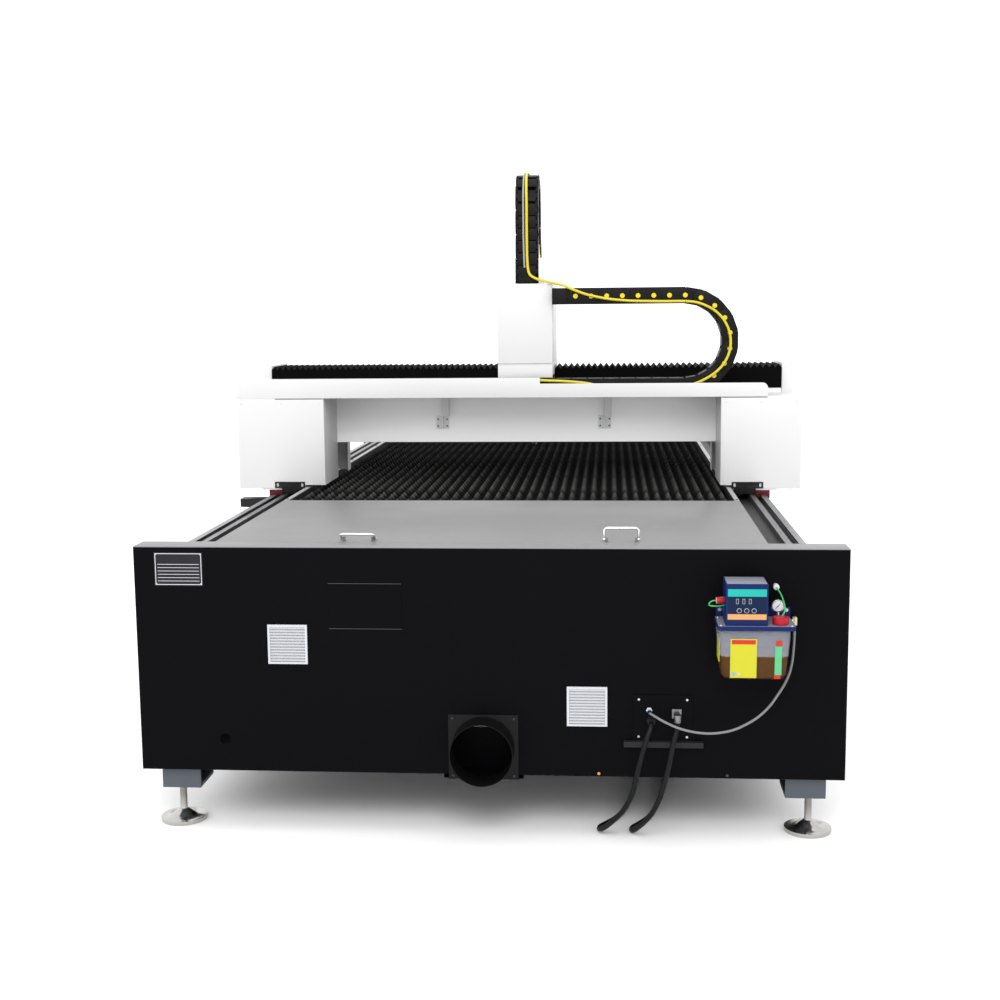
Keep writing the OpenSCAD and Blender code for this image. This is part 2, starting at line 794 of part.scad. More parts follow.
module y_chain_lower() {
  color(black) long_chain() translate([long_fixed, 0, long_low])
    chain_run(long_bend - long_fixed, long_h, long_w, long_pitch, 0);
}

module y_chain_loop() {
  color(black) long_chain() translate([long_bend + 0.4, 0, long_mid])
    chain_bend(long_r, long_h, long_w, long_pitch, 1);
}

module y_chain_upper() {
  color(black) long_chain() translate([long_start, 0, long_low + 2 * long_r])
    chain_run(long_bend - long_start, long_h, long_w, long_pitch,
      (1 + bend_links(long_r, long_pitch)) % 2);
}

// open-topped tray with a face panel and a pull, drawn for a range along Y
module drawer(y) {
  difference() {
    box([-drawer_half, y[0], drawer_z], [beam_out + sheet, y[1], drawer_z + drawer_h]);
    box([-drawer_half + sheet, y[0] + sheet, drawer_z + sheet],
      [beam_out - 1, y[1] - sheet, drawer_z + drawer_h + 1]);
  }
  box([beam_out, y[0], drawer_z], [beam_out + sheet, y[1], drawer_z + drawer_face]);
  for (s = [-60, 48]) {
    box([beam_out + sheet, (y[0] + y[1]) / 2 + s, drawer_z + 90],
      [beam_out + 36, (y[0] + y[1]) / 2 + s + 12, drawer_z + 102]);
  }
  box([beam_out + 26, (y[0] + y[1]) / 2 - 60, drawer_z + 90],
    [beam_out + 36, (y[0] + y[1]) / 2 + 60, drawer_z + 102]);
}

module drawer_rear() {
  color(slate) rear() drawer(drawers_y[0]);
}

module drawer_front() {
  color(slate) rear() drawer(drawers_y[1]);
}

module gantry_beam() {
  color(white) rear() {
    difference() {
      union() {
        box([-beam_end, beam_back, beam_bottom], [beam_right, beam_front, beam_top]);
        both() {
          box([deck_half + 10, beam_back, foot_z + foot_plate], [beam_end - 10, beam_front, beam_bottom]);
          box([deck_half + 10, gantry_back + 10, foot_z],
            [beam_end - 10, gantry_front - 10, foot_z + foot_plate]);
        }
      }
      box([-beam_end - 1, beam_back + 10, beam_bottom + 10],
        [beam_right + 1, beam_front - 10, beam_top - 10]);
      both() translate([pinion_x, motor_y, foot_z - 1])
        cylinder(h = foot_plate + 2, r = shaft_r + shaft_gap);
    }
  }
}

// folded end cover: open below and behind the beam, with a cap past the beam's end
module end_cover(inner, end) {
  t = sheet;
  difference() {
    union() {
      box([inner, gantry_back, cover_low], [gantry_half, gantry_front, tray_z]);
      box([end + 2, beam_back + 2, tray_z - 1], [gantry_half, gantry_front, cap_top]);
    }
    box([inner + t, gantry_back + t, cover_low - 1], [gantry_half - t, gantry_front - t, tray_z - t]);
    box([end + 2 + t, beam_back + 2 + t, tray_z - t - 1],
      [gantry_half - t, gantry_front - t, cap_top - t]);
    box([inner - 1, gantry_back - 1, cover_low - 1], [deck_half + 7, gantry_front + 1, cover_step]);
    box([inner - 1, beam_back, cover_step - 1], [end + 2, beam_front + 2, tray_z + 1]);
  }
}

module end_covers() {
  color(white) rear() {
    end_cover(cover_right, beam_right);
    mirror([1, 0, 0]) end_cover(-cover_left, beam_end);
  }
}

module bearing_blocks() {
  color(steel) rear() both() for (y = blocks_y) {
    difference() {
      union() {
        box([rail_x - block_w / 2, y, block_low], [rail_x + block_w / 2, y + block_l, block_high]);
        box([rail_x - block_w / 2 + 1, y - seal, block_low + 1],
          [rail_x + block_w / 2 - 1, y + block_l + seal, block_high - 1]);
      }
      box([rail_x - rail_w / 2 - run_gap, y - block_l, block_low - 1],
        [rail_x + rail_w / 2 + run_gap, y + 2 * block_l, track_z + rail_h + run_gap]);
    }
  }
}

module wiper_plates() {
  x1 = deck_half + 4;
  x2 = rail_x;
  color(black) rear() both() difference() {
    union() {
      box([x1, gantry_back - 4, cover_low + 2], [x2, gantry_back, cover_low + 29]);
      box([x1 + 10, gantry_back - 4, track_z + rail_h + 3], [x2 - 30, gantry_back, cover_low + 4]);
    }
    for (x = [x1 + 12, x2 - 12]) {
      hull() for (z = [cover_low + 13, cover_low + 19]) {
        translate([x, gantry_back + 1, z]) rotate([90, 0, 0]) cylinder(h = 6, r = 5, $fn = 24);
      }
    }
  }
}

module chain_tray() {
  color(white) rear() difference() {
    union() {
      box([-gantry_half, gantry_back, tray_z], [tray_right, beam_back, tray_z + sheet]);
      box([-gantry_half, gantry_back, tray_z], [lip_step, gantry_back + sheet, lip_left_top]);
      box([lip_step - 1, gantry_back, tray_z], [tray_right, gantry_back + sheet, lip_right_top]);
    }
    translate([tray_right - 24, gantry_back - 1, lip_right_top - 24]) rotate([-90, 0, 0]) difference() {
      translate([0, -25, 0]) cube([25, 25, 6]);
      cylinder(h = 6, r = 24);
    }
  }
}

module tray_brackets() {
  low = tray_z - hinge_drop;
  mid = tray_z - bracket_drop;
  color(steel) rear() for (x = brackets_x) {
    box([x - 5, beam_back - 32, mid], [x + 28, beam_back, tray_z]);
    box([x - 30, beam_back - 7, low], [x + 26, beam_back, mid]);
    translate([x - 2, beam_back - 12, low + 3]) cylinder(h = mid - low - 7, r = 6);
  }
}

// pleated cover over the beam's guide rails, with a skirt down the beam's rear face
module bellows(x1, x2, n) {
  p = (x2 - x1) / n;
  low = beam_top - 38;
  roof = beam_top + x_rail_h + 4;
  top = [for (i = [n - 1:-1:0]) each [[x1 + (i + 1) * p, roof + 26], [x1 + (i + 0.5) * p, roof + 42]]];
  difference() {
    translate([0, beam_front - 2, 0]) rotate([90, 0, 0]) linear_extrude(beam_depth + 4.5)
      polygon(concat([[x1, low], [x2, low]], top, [[x1, roof + 26]]));
    box([x1 - 1, beam_back - 0.5, low - 1], [x2 + 1, beam_front + 1, roof]);
  }
}

module bellows_left() {
  color(black) rear() bellows(-beam_end - 1, carriage_x - carriage_half - 0.5, 40);
}

module bellows_right() {
  color(black) rear() bellows(carriage_x + carriage_half + 0.5, beam_right + 1, 37);
}

module x_rails() {
  color(steel) rear() {
    for (y = x_rail_y) {
      box([-beam_end + 20, y - x_rail_w / 2, beam_top],
        [beam_end - 20, y + x_rail_w / 2, beam_top + x_rail_h]);
    }
    box([-beam_end + 20, x_rack_y, beam_top], [beam_end - 20, x_rack_y + 20, beam_top + x_rail_h]);
  }
}

module chain_arm() {
  low = arm_low;
  high = arm_high;
  color(black) rear() {
    box([-gantry_half, gantry_back, low], [-beam_out - 5, gantry_back + 70, high]);
    hull() {
      box([-gantry_half, gantry_back + 1, low], [-gantry_half + 30, gantry_back + 69, high - 1]);
      box([-gantry_half, long_end - 30, low - arm_drop], [-gantry_half + 30, long_end, high - arm_drop]);
    }
    box([-gantry_half, long_end - 30, low - arm_drop], [-beam_out - 17, long_end, high - arm_drop]);
    box([-beam_out - 37, long_end - 30, low - arm_drop], [-beam_out - 17, long_end, foot_z]);
    box([long_x, long_end - 30, long_low + 2 * long_r], [long_x + long_w, long_end, low - arm_drop + 4]);
  }
}

module y_motors() {
  z = foot_z + foot_plate;
  color([0.2, 0.2, 0.22]) rear() both() {
    box([pinion_x - 45, motor_y - 45, z], [pinion_x + 45, motor_y + 45, z + 70]);
    box([pinion_x - 40, motor_y - 40, z + 70], [pinion_x + 40, motor_y + 40, z + 240]);
  }
}

// pitch cylinder of a drive pinion on its shaft
module pinion(r, h, shaft, shaft_h) {
  cylinder(h = h, r = r);
  cylinder(h = shaft_h, r = shaft);
}

module y_pinion_left() {
  color(steel) rear() translate([-pinion_x, motor_y, track_z + 1])
    pinion(pinion_r, rail_h - 2, shaft_r, foot_z + foot_plate - track_z - 1 - run_gap);
}

module y_pinion_right() {
  color(steel) rear() translate([pinion_x, motor_y, track_z + 1])
    pinion(pinion_r, rail_h - 2, shaft_r, foot_z + foot_plate - track_z - 1 - run_gap);
}

module x_chain_lower() {
  color(black) rear() translate([chain_fixed_x, chain_y, chain_low])
    chain_run(chain_bend_x - chain_fixed_x, chain_h, chain_w, chain_pitch, 0);
}

module x_chain_loop() {
  color(black) rear() translate([chain_bend_x + 0.4, chain_y, chain_mid])
    chain_bend(chain_r, chain_h, chain_w, chain_pitch, 1);
}

module x_chain_upper() {
  run = chain_bend_x - chain_start;
  last = (1 + bend_links(chain_r, chain_pitch)) % 2;
  color(black) rear() translate([chain_start, chain_y, chain_low + 2 * chain_r]) {
    chain_run(run, chain_h, chain_w, chain_pitch, last);
    chain_end(chain_h, chain_w, (last + run_links(run, chain_pitch)) % 2);
  }
}

module carriage_plate() {
  x1 = carriage_x - carriage_half;
  x2 = carriage_x + carriage_half;
  color(white) rear() difference() {
    union() {
      box([x1, gantry_back + 60, plate_low], [x2, column_y, plate_high]);
      box([x1, gantry_back + 60, plate_low - 8], [x2, gantry_back + 64, plate_low + 1]);
      for (x = [carriage_x - 65, carriage_x + 65], y = x_rail_y) {
        box([x - 30, y - 22, beam_top + 6], [x + 30, y + 22, plate_low]);
      }
      box([carriage_x - column_half, column_y, column_z[0]],
        [carriage_x + column_half, column_y + column_d, column_z[1]]);
    }
    for (y = x_rail_y) {
      box([x1 - 1, y - x_rail_w / 2 - run_gap, beam_top],
        [x2 + 1, y + x_rail_w / 2 + run_gap, beam_top + x_rail_h + run_gap]);
    }
    translate([carriage_x, x_pinion_y, plate_low - 1])
      cylinder(h = plate_high - plate_low + 2, r = 8 + shaft_gap);
  }
}

module carriage_cover() {
  x1 = carriage_x - carriage_half;
  x2 = carriage_x + carriage_half;
  back = gantry_back + 55;
  front = beam_front + 20;
  stand_x = carriage_x + 8;
  color(white) rear() {
    difference() {
      box([x1, back, plate_high], [x2, front, cover_top]);
      box([x1 + sheet, back + sheet, plate_high - 1], [x2 - sheet, front - sheet, cover_top - sheet]);
    }
    for (s = [-1, 1]) {
      x = stand_x + s * (stand_w / 2 + 10.5);
      box([x - 10, stand_y - 30, cover_top + weld_gap], [x + 10, stand_y + 30, cover_top + 108]);
    }
  }
}

module carriage_motors() {
  color([0.2, 0.2, 0.22]) rear() {
    box([carriage_x - 35, x_pinion_y - 35, plate_high],
      [carriage_x + 35, x_pinion_y + 35, plate_high + 60]);
    box([carriage_x - 30, x_pinion_y - 30, plate_high + 60],
      [carriage_x + 30, x_pinion_y + 30, plate_high + 220]);
    box([carriage_x - 35, column_y - 15, column_z[1]],
      [carriage_x + 35, column_y + column_d, column_z[1] + z_motor_h]);
  }
}

module x_pinion() {
  color(steel) rear() translate([carriage_x, x_pinion_y, beam_top + 1])
    pinion(x_pinion_r, x_rail_h - 2, 8, plate_high - beam_top - 1 - run_gap);
}

// chain standing on the carriage: up behind, over the top and down in front to the head's arm
module z_chain() {
  top = stand_mid;
  low = cover_top + stand_h / 2 - end_seat;
  arm_top = arm_z + 25 + stand_h / 2 - end_seat;
  color(black) rear() translate([carriage_x + 8 - stand_w / 2, stand_y + stand_r, 0]) rotate(90)
    mirror([0, 1, 0]) {
      translate([-stand_r + stand_h / 2, 0, low]) rotate([0, -90, 0])
        chain_run(top - low, stand_h, stand_w, stand_pitch,
          (1 + bend_links(stand_r, stand_pitch)) % 2);
      translate([stand_r + stand_h / 2, 0, arm_top]) rotate([0, -90, 0])
        chain_run(top - arm_top, stand_h, stand_w, stand_pitch, 0);
      translate([0, 0, top]) rotate([0, -90, 0]) chain_bend(stand_r, stand_h, stand_w, stand_pitch, 1);
    }
}

module z_slide() {
  y2 = slide_y + slide_d;
  color(steel) rear() {
    box([carriage_x - slide_half, slide_y, slide_z[0]], [carriage_x + slide_half, y2, slide_z[1]]);
    box([arm_x[0], y2 - 8, slide_z[1] - 10], [arm_x[1], y2, arm_z + 25]);
    box([arm_x[0], stand_y + 2 * stand_r - 30, arm_z], [arm_x[1], y2, arm_z + 25]);
    box([carriage_x - 40, y2, slide_z[0] + 40], [carriage_x + 40, head_y - head_r + 10, slide_z[1] - 40]);
  }
}

module cutting_head() {
  color([0.75, 0.76, 0.78]) rear() translate([carriage_x, head_y, nozzle_height]) {
    h = head_steps;
    cylinder(h = h[0], r1 = 4, r2 = 9);
    translate([0, 0, h[0]]) cylinder(h = h[1] - h[0], r = 14);
    translate([0, 0, h[1]]) cylinder(h = h[2] - h[1], r1 = 20, r2 = head_r);
    translate([0, 0, h[2]]) difference() {
      cylinder(h = h[3] - h[2], r = head_r);
      translate([-60, -head_r - 50, 40]) cube([120, 60.3, h[3] - h[2] - 80]);
    }
    translate([0, 0, h[3]]) cylinder(h = h[4] - h[3], r = 20);
  }
}

module fibre_upper() {
  color([0.95, 0.85, 0.05]) rear() tube(fibre_route, fibre_d / 2, [1, 0, 0], 8);
}

module fibre_head() {
  color([0.95, 0.85, 0.05]) rear() tube(head_route, fibre_d / 2, [1, 0, 0], 8);
}

// the fibre along the cross chain's bend
module fibre_loop() {
  route = [for (i = [0:len(fibre_turn) - 1]) [chain_bend_x + fibre_turn[i] * sin(15 * i), chain_y - 6,
    chain_mid + fibre_turn[i] * cos(15 * i)]];
  color([0.95, 0.85, 0.05]) rear() tube(route, fibre_d / 2, [0, 1, 0], 8);
}

bed_frame();
bed_panels();
rear_panel();
end_caps();
rear_deck();
slat_lips();
slats();
rails();
racks();
foot_brackets();
levelling_feet();
exhaust_duct();
vents();
access_cover();
name_plate();
cable_plate();
bulkhead_fittings();
screws();
pump_body();
pump_tank();
pump_oil();
pump_gauge();
filler_cap();
oil_hose();
supply_cable();
control_cable();
cable_ends();
y_chain_lower();
y_chain_loop();
y_chain_upper();
handle_left();
handle_right();
drawer_rear();
drawer_front();
gantry_beam();
end_covers();
bearing_blocks();
wiper_plates();
chain_tray();
tray_brackets();
bellows_left();
bellows_right();
x_rails();
chain_arm();
y_motors();
y_pinion_left();
y_pinion_right();
x_chain_lower();
x_chain_loop();
x_chain_upper();
carriage_plate();
carriage_cover();
carriage_motors();
x_pinion();
z_chain();
z_slide();
cutting_head();
fibre_upper();
fibre_head();
fibre_loop();
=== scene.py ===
import math

import bmesh
import bpy
from mathutils import Matrix, Vector


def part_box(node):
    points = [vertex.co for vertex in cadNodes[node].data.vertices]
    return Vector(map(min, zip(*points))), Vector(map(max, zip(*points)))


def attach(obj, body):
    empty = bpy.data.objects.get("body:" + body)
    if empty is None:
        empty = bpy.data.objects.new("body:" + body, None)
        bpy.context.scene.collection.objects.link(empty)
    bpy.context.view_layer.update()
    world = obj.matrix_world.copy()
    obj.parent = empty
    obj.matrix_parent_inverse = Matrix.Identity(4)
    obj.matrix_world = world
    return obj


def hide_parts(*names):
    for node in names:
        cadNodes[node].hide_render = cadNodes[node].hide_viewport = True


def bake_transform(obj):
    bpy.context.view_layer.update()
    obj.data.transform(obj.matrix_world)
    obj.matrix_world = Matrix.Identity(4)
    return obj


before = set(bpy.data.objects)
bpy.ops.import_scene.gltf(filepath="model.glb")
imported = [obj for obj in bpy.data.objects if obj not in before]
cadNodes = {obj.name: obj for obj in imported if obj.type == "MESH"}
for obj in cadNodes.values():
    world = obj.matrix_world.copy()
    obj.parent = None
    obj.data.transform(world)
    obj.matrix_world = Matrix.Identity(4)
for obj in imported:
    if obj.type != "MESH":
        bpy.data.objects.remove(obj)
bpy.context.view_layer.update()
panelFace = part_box("rear_panel")[0].y  # outer face of the rear panel
scene = bpy.context.scene


def at(x, y, z):  # a place in millimetres from the rear panel's face
    return Vector((x / 1000, panelFace + y / 1000, z / 1000))


def mm(value):
    return value / 1000


# camera and studio
view = {"place": (397, -4360.6, 1722.4), "yaw": 0.0792, "pitch": 0.138, "roll": -0.0096, "lens": 50.107,
        "sensor": 36.0, "reach": 200.0}
studio = {"dome": 1.40, "floorSize": 60.0, "floorDrop": 0.0004}
lights = {
    "topLight": {"watts": 70, "size": 7.0, "place": (0.4, -0.6, 6.5), "aim": (0, 0, 0.9)},
    "frontLight": {"watts": 290, "size": 4.0, "place": (0.2, -8.2, 5.6), "aim": (0, -1.5, 0.8)},
}


def makeCamera():
    data = bpy.data.cameras.new("camera")
    data.sensor_width = view["sensor"]
    data.lens = view["lens"]
    data.clip_end = view["reach"]
    camera = bpy.data.objects.new("camera", data)
    turn = Matrix.Rotation(view["yaw"], 4, "Z") @ Matrix.Rotation(math.pi / 2 - view["pitch"], 4, "X")
    turn = turn @ Matrix.Rotation(view["roll"], 4, "Z")
    camera.matrix_world = Matrix.Translation(at(*view["place"])) @ turn
    scene.collection.objects.link(camera)
    scene.camera = camera


def makeLight(name, watts, size, place, aim):
    data = bpy.data.lights.new(name, "AREA")
    data.shape = "DISK"
    data.size = size
    data.energy = watts
    light = bpy.data.objects.new(name, data)
    light.location = place
    light.rotation_euler = (Vector(aim) - Vector(place)).to_track_quat("-Z", "Y").to_euler()
    scene.collection.objects.link(light)


def makeStudio():
    world = bpy.data.worlds.new("studio")
    scene.world = world
    world.use_nodes = True
    sky = world.node_tree.nodes["Background"].inputs
    sky["Color"].default_value = (1.0, 1.0, 1.0, 1.0)
    sky["Strength"].default_value = studio["dome"]
    scene.view_settings.view_transform = "Standard"
    for name, values in lights.items():
        makeLight(name, **values)


makeCamera()
makeStudio()
print("camera and lights are up")


# shader groups that several finishes share
def newGroup(name, inputs, outputs):
    group = bpy.data.node_groups.new(name, "ShaderNodeTree")

    def socket(label, way):  # a colour by its label, else a number
        kind = "NodeSocketColor" if label == "Color" else "NodeSocketFloat"
        return group.interface.new_socket(label, in_out=way, socket_type=kind)
    for label, value in inputs.items():
        socket(label, "INPUT").default_value = value
    for label in outputs:
        socket(label, "OUTPUT")
    return group, group.nodes.new("NodeGroupInput"), group.nodes.new("NodeGroupOutput")


def addNode(tree, kind, values=None, **settings):
    node = tree.nodes.new(kind)
    for key, value in settings.items():
        setattr(node, key, value)
    for socket, value in (values or {}).items():
        node.inputs[socket].default_value = value
    return node


def link(tree, source, target):
    tree.links.new(source, target)


def feed(tree, socket, value):  # a number is set, another node's output is linked
    if isinstance(value, (int, float)):
        socket.default_value = value
    else:
        link(tree, value, socket)


def ownPlace(tree):  # the piece's own coordinates, an output for each axis
    coords = addNode(tree, "ShaderNodeTexCoord")
    parts = addNode(tree, "ShaderNodeSeparateXYZ")
    link(tree, coords.outputs["Object"], parts.inputs[0])
    return parts.outputs


def spotNoise(tree, scale, detail, stretch=None):  # noise over the piece's own coordinates
    coords = addNode(tree, "ShaderNodeTexCoord")
    source = coords.outputs["Object"]
    if stretch:
        scaled = addNode(tree, "ShaderNodeVectorMath", {1: stretch}, operation="MULTIPLY")
        link(tree, source, scaled.inputs[0])
        source = scaled.outputs[0]
    noise = addNode(tree, "ShaderNodeTexNoise", {"Detail": detail})
    feed(tree, noise.inputs["Scale"], scale)
    link(tree, source, noise.inputs["Vector"])
    return noise.outputs["Fac"]


def mapped(tree, value, low, high, fromLow=0.3, fromHigh=0.7):
    node = addNode(tree, "ShaderNodeMapRange")
    ends = {"Value": value, "From Min": fromLow, "From Max": fromHigh, "To Min": low, "To Max": high}
    for socket, end in ends.items():
        feed(tree, node.inputs[socket], end)
    return node.outputs["Result"]


def maths(tree, operation, a, b=0.0):
    node = addNode(tree, "ShaderNodeMath", operation=operation)
    for socket, value in zip(node.inputs, (a, b)):
        feed(tree, socket, value)
    return node.outputs[0]


def tinted(tree, color, factor):  # the colour made lighter or darker by a factor
    node = addNode(tree, "ShaderNodeMix", data_type="RGBA", blend_type="MULTIPLY", clamp_result=False)
    node.inputs["Factor"].default_value = 1.0
    link(tree, color, node.inputs["A"])
    link(tree, factor, node.inputs["B"])
    return node.outputs["Result"]


def makePowderCoat():  # orange-peel paint: fine bumps, faint cloudiness
    inputs = {"Color": (0.5, 0.5, 0.5, 1), "Roughness": 0.4, "Cloud": 0.06, "Grain": 900.0}
    group, start, end = newGroup("powderCoat", inputs, ("Color", "Roughness", "Height"))
    cloud = spotNoise(group, 2.2, 3.0)
    lift = maths(group, "ADD", 1.0, maths(group, "MULTIPLY", maths(group, "SUBTRACT", cloud, 0.5),
                                          maths(group, "MULTIPLY", start.outputs["Cloud"], 4.0)))
    link(group, tinted(group, start.outputs["Color"], lift), end.inputs["Color"])
    fine = spotNoise(group, start.outputs["Grain"], 1.0)
    rough = maths(group, "MULTIPLY", start.outputs["Roughness"], mapped(group, cloud, 0.85, 1.15))
    link(group, rough, end.inputs["Roughness"])
    link(group, fine, end.inputs["Height"])
    return group


def makeDrawnMetal():  # bare metal with fine lines along one way
    inputs = {"Color": (0.6, 0.6, 0.6, 1), "Roughness": 0.35}
    group, start, end = newGroup("drawnMetal", inputs, ("Color", "Roughness", "Height"))
    lines = spotNoise(group, 60.0, 4.0, (8.0, 0.25, 8.0))
    stain = spotNoise(group, 7.0, 4.0)
    link(group, tinted(group, start.outputs["Color"], mapped(group, stain, 0.82, 1.08)), end.inputs["Color"])
    rough = maths(group, "MULTIPLY", start.outputs["Roughness"], mapped(group, lines, 0.75, 1.35))
    link(group, rough, end.inputs["Roughness"])
    link(group, lines, end.inputs["Height"])
    return group


def makeHeightFade():  # a tone that changes between two heights, used for painted highlights and painted shade
    inputs = {"Color": (0.5, 0.5, 0.5, 1), "Low": 0.0, "High": 1.0, "Foot": 1.0, "Top": 1.0}
    group, start, end = newGroup("heightFade", inputs, ("Color",))
    ends = [start.outputs[socket] for socket in ("Foot", "Top", "Low", "High")]
    tone = mapped(group, ownPlace(group)["Z"], *ends)
    link(group, tinted(group, start.outputs["Color"], tone), end.inputs["Color"])
    return group


powderCoat = makePowderCoat()
drawnMetal = makeDrawnMetal()
heightFade = makeHeightFade()


def useGroup(tree, group, values):
    return addNode(tree, "ShaderNodeGroup", values, node_tree=group)


def newMaterial(name, fixed, group, values, bump, depth):
    material = bpy.data.materials.new(name)
    material.use_nodes = True
    tree = material.node_tree
    shader = tree.nodes["Principled BSDF"].inputs
    for socket, value in fixed.items():
        shader[socket].default_value = value
    surface = useGroup(tree, group, values).outputs
    link(tree, surface["Color"], shader["Base Color"])
    link(tree, surface["Roughness"], shader["Roughness"])
    relief = addNode(tree, "ShaderNodeBump", {"Strength": bump, "Distance": depth})
    link(tree, surface["Height"], relief.inputs["Height"])
    link(tree, relief.outputs["Normal"], shader["Normal"])
    return material


def coated(name, color, roughness=0.4, shine=0.5, cloud=0.05, grain=900.0, bump=0.12):
    values = {"Color": (*color, 1), "Roughness": roughness, "Cloud": cloud, "Grain": grain}
    return newMaterial(name, {"Specular IOR Level": shine}, powderCoat, values, bump, 0.0004)


def bareMetal(name, color, roughness=0.35, bump=0.1):
    values = {"Color": (*color, 1), "Roughness": roughness}
    return newMaterial(name, {"Metallic": 1.0}, drawnMetal, values, bump, 0.0003)


def baseColor(material):  # the colour that the shader takes, and the socket it goes into
    tree = material.node_tree
    socket = tree.nodes["Principled BSDF"].inputs["Base Color"]
    return tree, socket.links[0].from_socket, socket


# colour, roughness, shine, cloudiness, grain, bump
paints = {
    "panelBlack": ((0.0024, 0.0023, 0.0033), 0.45, 0.03, 0.08, 700.0, 0.1),
    "sheetBlack": ((0.006, 0.006, 0.007), 0.45, 0.25),
    "deckGrey": ((0.178, 0.174, 0.176), 0.42, 0.35, 0.05, 800.0, 0.1),
    "gantryWhite": ((0.615, 0.615, 0.619), 0.36, 0.35, 0.015, 900.0, 0.08),
    # the beam's white is painted lighter than the covers' white, to make up for the shade the chain tray casts on
    # the beam
    "beamWhiteLit": ((0.94, 0.94, 0.942), 0.36, 0.4, 0.012, 900.0, 0.08),
    "slate": ((0.055, 0.065, 0.08), 0.45, 0.4, 0.08),
    "lipGrey": ((0.3, 0.3, 0.3), 0.45, 0.4, 0.05),
    "slatSteel": ((0.039, 0.038, 0.037), 0.6, 0.08, 0.2, 300.0, 0.2),
    # bracket paint painted lighter than the cover white, to make up for the shade on the hinge brackets under the
    # tray
    "bracketPaintLit": ((0.68, 0.68, 0.69), 0.4, 0.4, 0.03),
    "frameDark": ((0.008, 0.008, 0.009), 0.5, 0.3, 0.1),
    "screwDark": ((0.012, 0.012, 0.012), 0.35, 0.5),
    "motorBlack": ((0.014, 0.014, 0.016), 0.4, 0.45),
    "chainBlack": ((0.0042, 0.0042, 0.0046), 0.46, 0.12, 0.1, 500.0, 0.1),
    "dotYellow": ((0.6, 0.5, 0.014), 0.4, 0.2, 0.03),
    "pleatBlack": ((0.0025, 0.0025, 0.0027), 0.75, 0.03, 0.15, 1600.0, 0.35),
    "ventWhite": ((0.47, 0.48, 0.51), 0.45, 0.2, 0.02),
    "ventBlade": ((0.47, 0.48, 0.51), 0.45, 0.2, 0.02),
    "ductBlack": ((0.0035, 0.0035, 0.004), 0.4, 0.14, 0.1, 500.0, 0.1),
    "printPale": ((0.4, 0.4, 0.4), 0.5, 0.3),
    "rimHighlight": ((0.05, 0.05, 0.055), 0.5, 0.2),
    "plateLine": ((0.5, 0.5, 0.53), 0.5, 0.2),
    "shelfGrey": ((0.014, 0.014, 0.015), 0.5, 0.15),
    "pumpBlue": ((0.007, 0.016, 0.08), 0.34, 0.07, 0.04),
    "pumpTop": ((0.2, 0.21, 0.25), 0.35, 0.5, 0.1),
    "teal": ((0.013, 0.33, 0.285), 0.4, 0.1, 0.03),
    "navy": ((0.008, 0.015, 0.043), 0.36, 0.05, 0.03),
    "orange": ((0.54, 0.265, 0.095), 0.4, 0.1, 0.03),
    "labelYellow": ((0.44, 0.42, 0.025), 0.45, 0.12, 0.03),
    "labelRed": ((0.44, 0.03, 0.018), 0.4, 0.12, 0.03),
    "labelBlue": ((0.16, 0.3, 0.42), 0.4, 0.45, 0.03),
    "levelGreen": ((0.095, 0.38, 0.18), 0.4, 0.1, 0.03),
    "tankClear": ((0.38, 0.39, 0.45), 0.22, 0.08, 0.04, 400.0, 0.05),
    "oilAmber": ((0.125, 0.052, 0.013), 0.25, 0.1, 0.3, 60.0),
    "capRed": ((0.33, 0.01, 0.017), 0.35, 0.18, 0.04),
    "tubeGreen": ((0.03, 0.36, 0.1), 0.3, 0.5, 0.03),
    "dialWhite": ((0.56, 0.56, 0.58), 0.4, 0.4, 0.01),
    "ivory": ((0.46, 0.43, 0.28), 0.4, 0.5, 0.05),
    "hoseGrey": ((0.16, 0.165, 0.16), 0.38, 0.3, 0.08),
    "cableBlack": ((0.0035, 0.0035, 0.004), 0.42, 0.16, 0.08),
    "fibreYellow": ((0.55, 0.45, 0.008), 0.35, 0.5, 0.04),
    "cableGrey": ((0.28, 0.28, 0.28), 0.4, 0.4, 0.05),
    "sealRed": ((0.09, 0.006, 0.008), 0.5, 0.2, 0.05),
    "floorPale": ((0.965, 0.965, 0.965), 0.75, 0.1, 0.005, 60.0, 0.02),
}
# colour, roughness, bump
metals = {
    "railSteel": ((0.22, 0.22, 0.23), 0.32),
    "rackSteel": ((0.22, 0.22, 0.23), 0.42),
    "footSteel": ((0.45, 0.44, 0.42), 0.2),
    "chrome": ((0.8, 0.8, 0.82), 0.1, 0.02),
    "screwSteel": ((0.5, 0.5, 0.51), 0.3),
    "copper": ((0.72, 0.25, 0.1), 0.3),
    "plateDark": ((0.03, 0.03, 0.034), 0.45, 0.05),
    "connectorGrey": ((0.2, 0.2, 0.21), 0.36),
    "headMetal": ((0.52, 0.53, 0.55), 0.28),
    "brass": ((0.75, 0.55, 0.22), 0.28),
}
finish = {name: coated(name, *values) for name, values in paints.items()}
finish.update({name: bareMetal(name, *values) for name, values in metals.items()})

# painted highlights on the slat tips over painted shade at their roots, and painted shade that darkens the
# levelling feet upwards: heights in metres, and tones
paintedShading = {"slatSteel": {"Low": 0.934, "High": 0.954, "Foot": 0.08, "Top": 1.75},
         "footSteel": {"Low": 0.03, "High": 0.09, "Foot": 1.0, "Top": 0.5}}
for name, values in paintedShading.items():
    tree, color, base = baseColor(finish[name])
    fade = useGroup(tree, heightFade, values)
    link(tree, color, fade.inputs["Color"])
    link(tree, fade.outputs["Color"], base)

# where the slat field starts, the strip pitch, each strip's own tone spread, and the tones of the painted light
# and shade along the bed
slatRows = {"start": -0.985, "pitch": 0.068, "spread": (0.40, 1.50), "far": 1.5,  # metres along the bed
            "stops": [(-0.985, 1.2), (-0.3, 1.05), (0.5, 0.45), (1.5, 0.36)]}


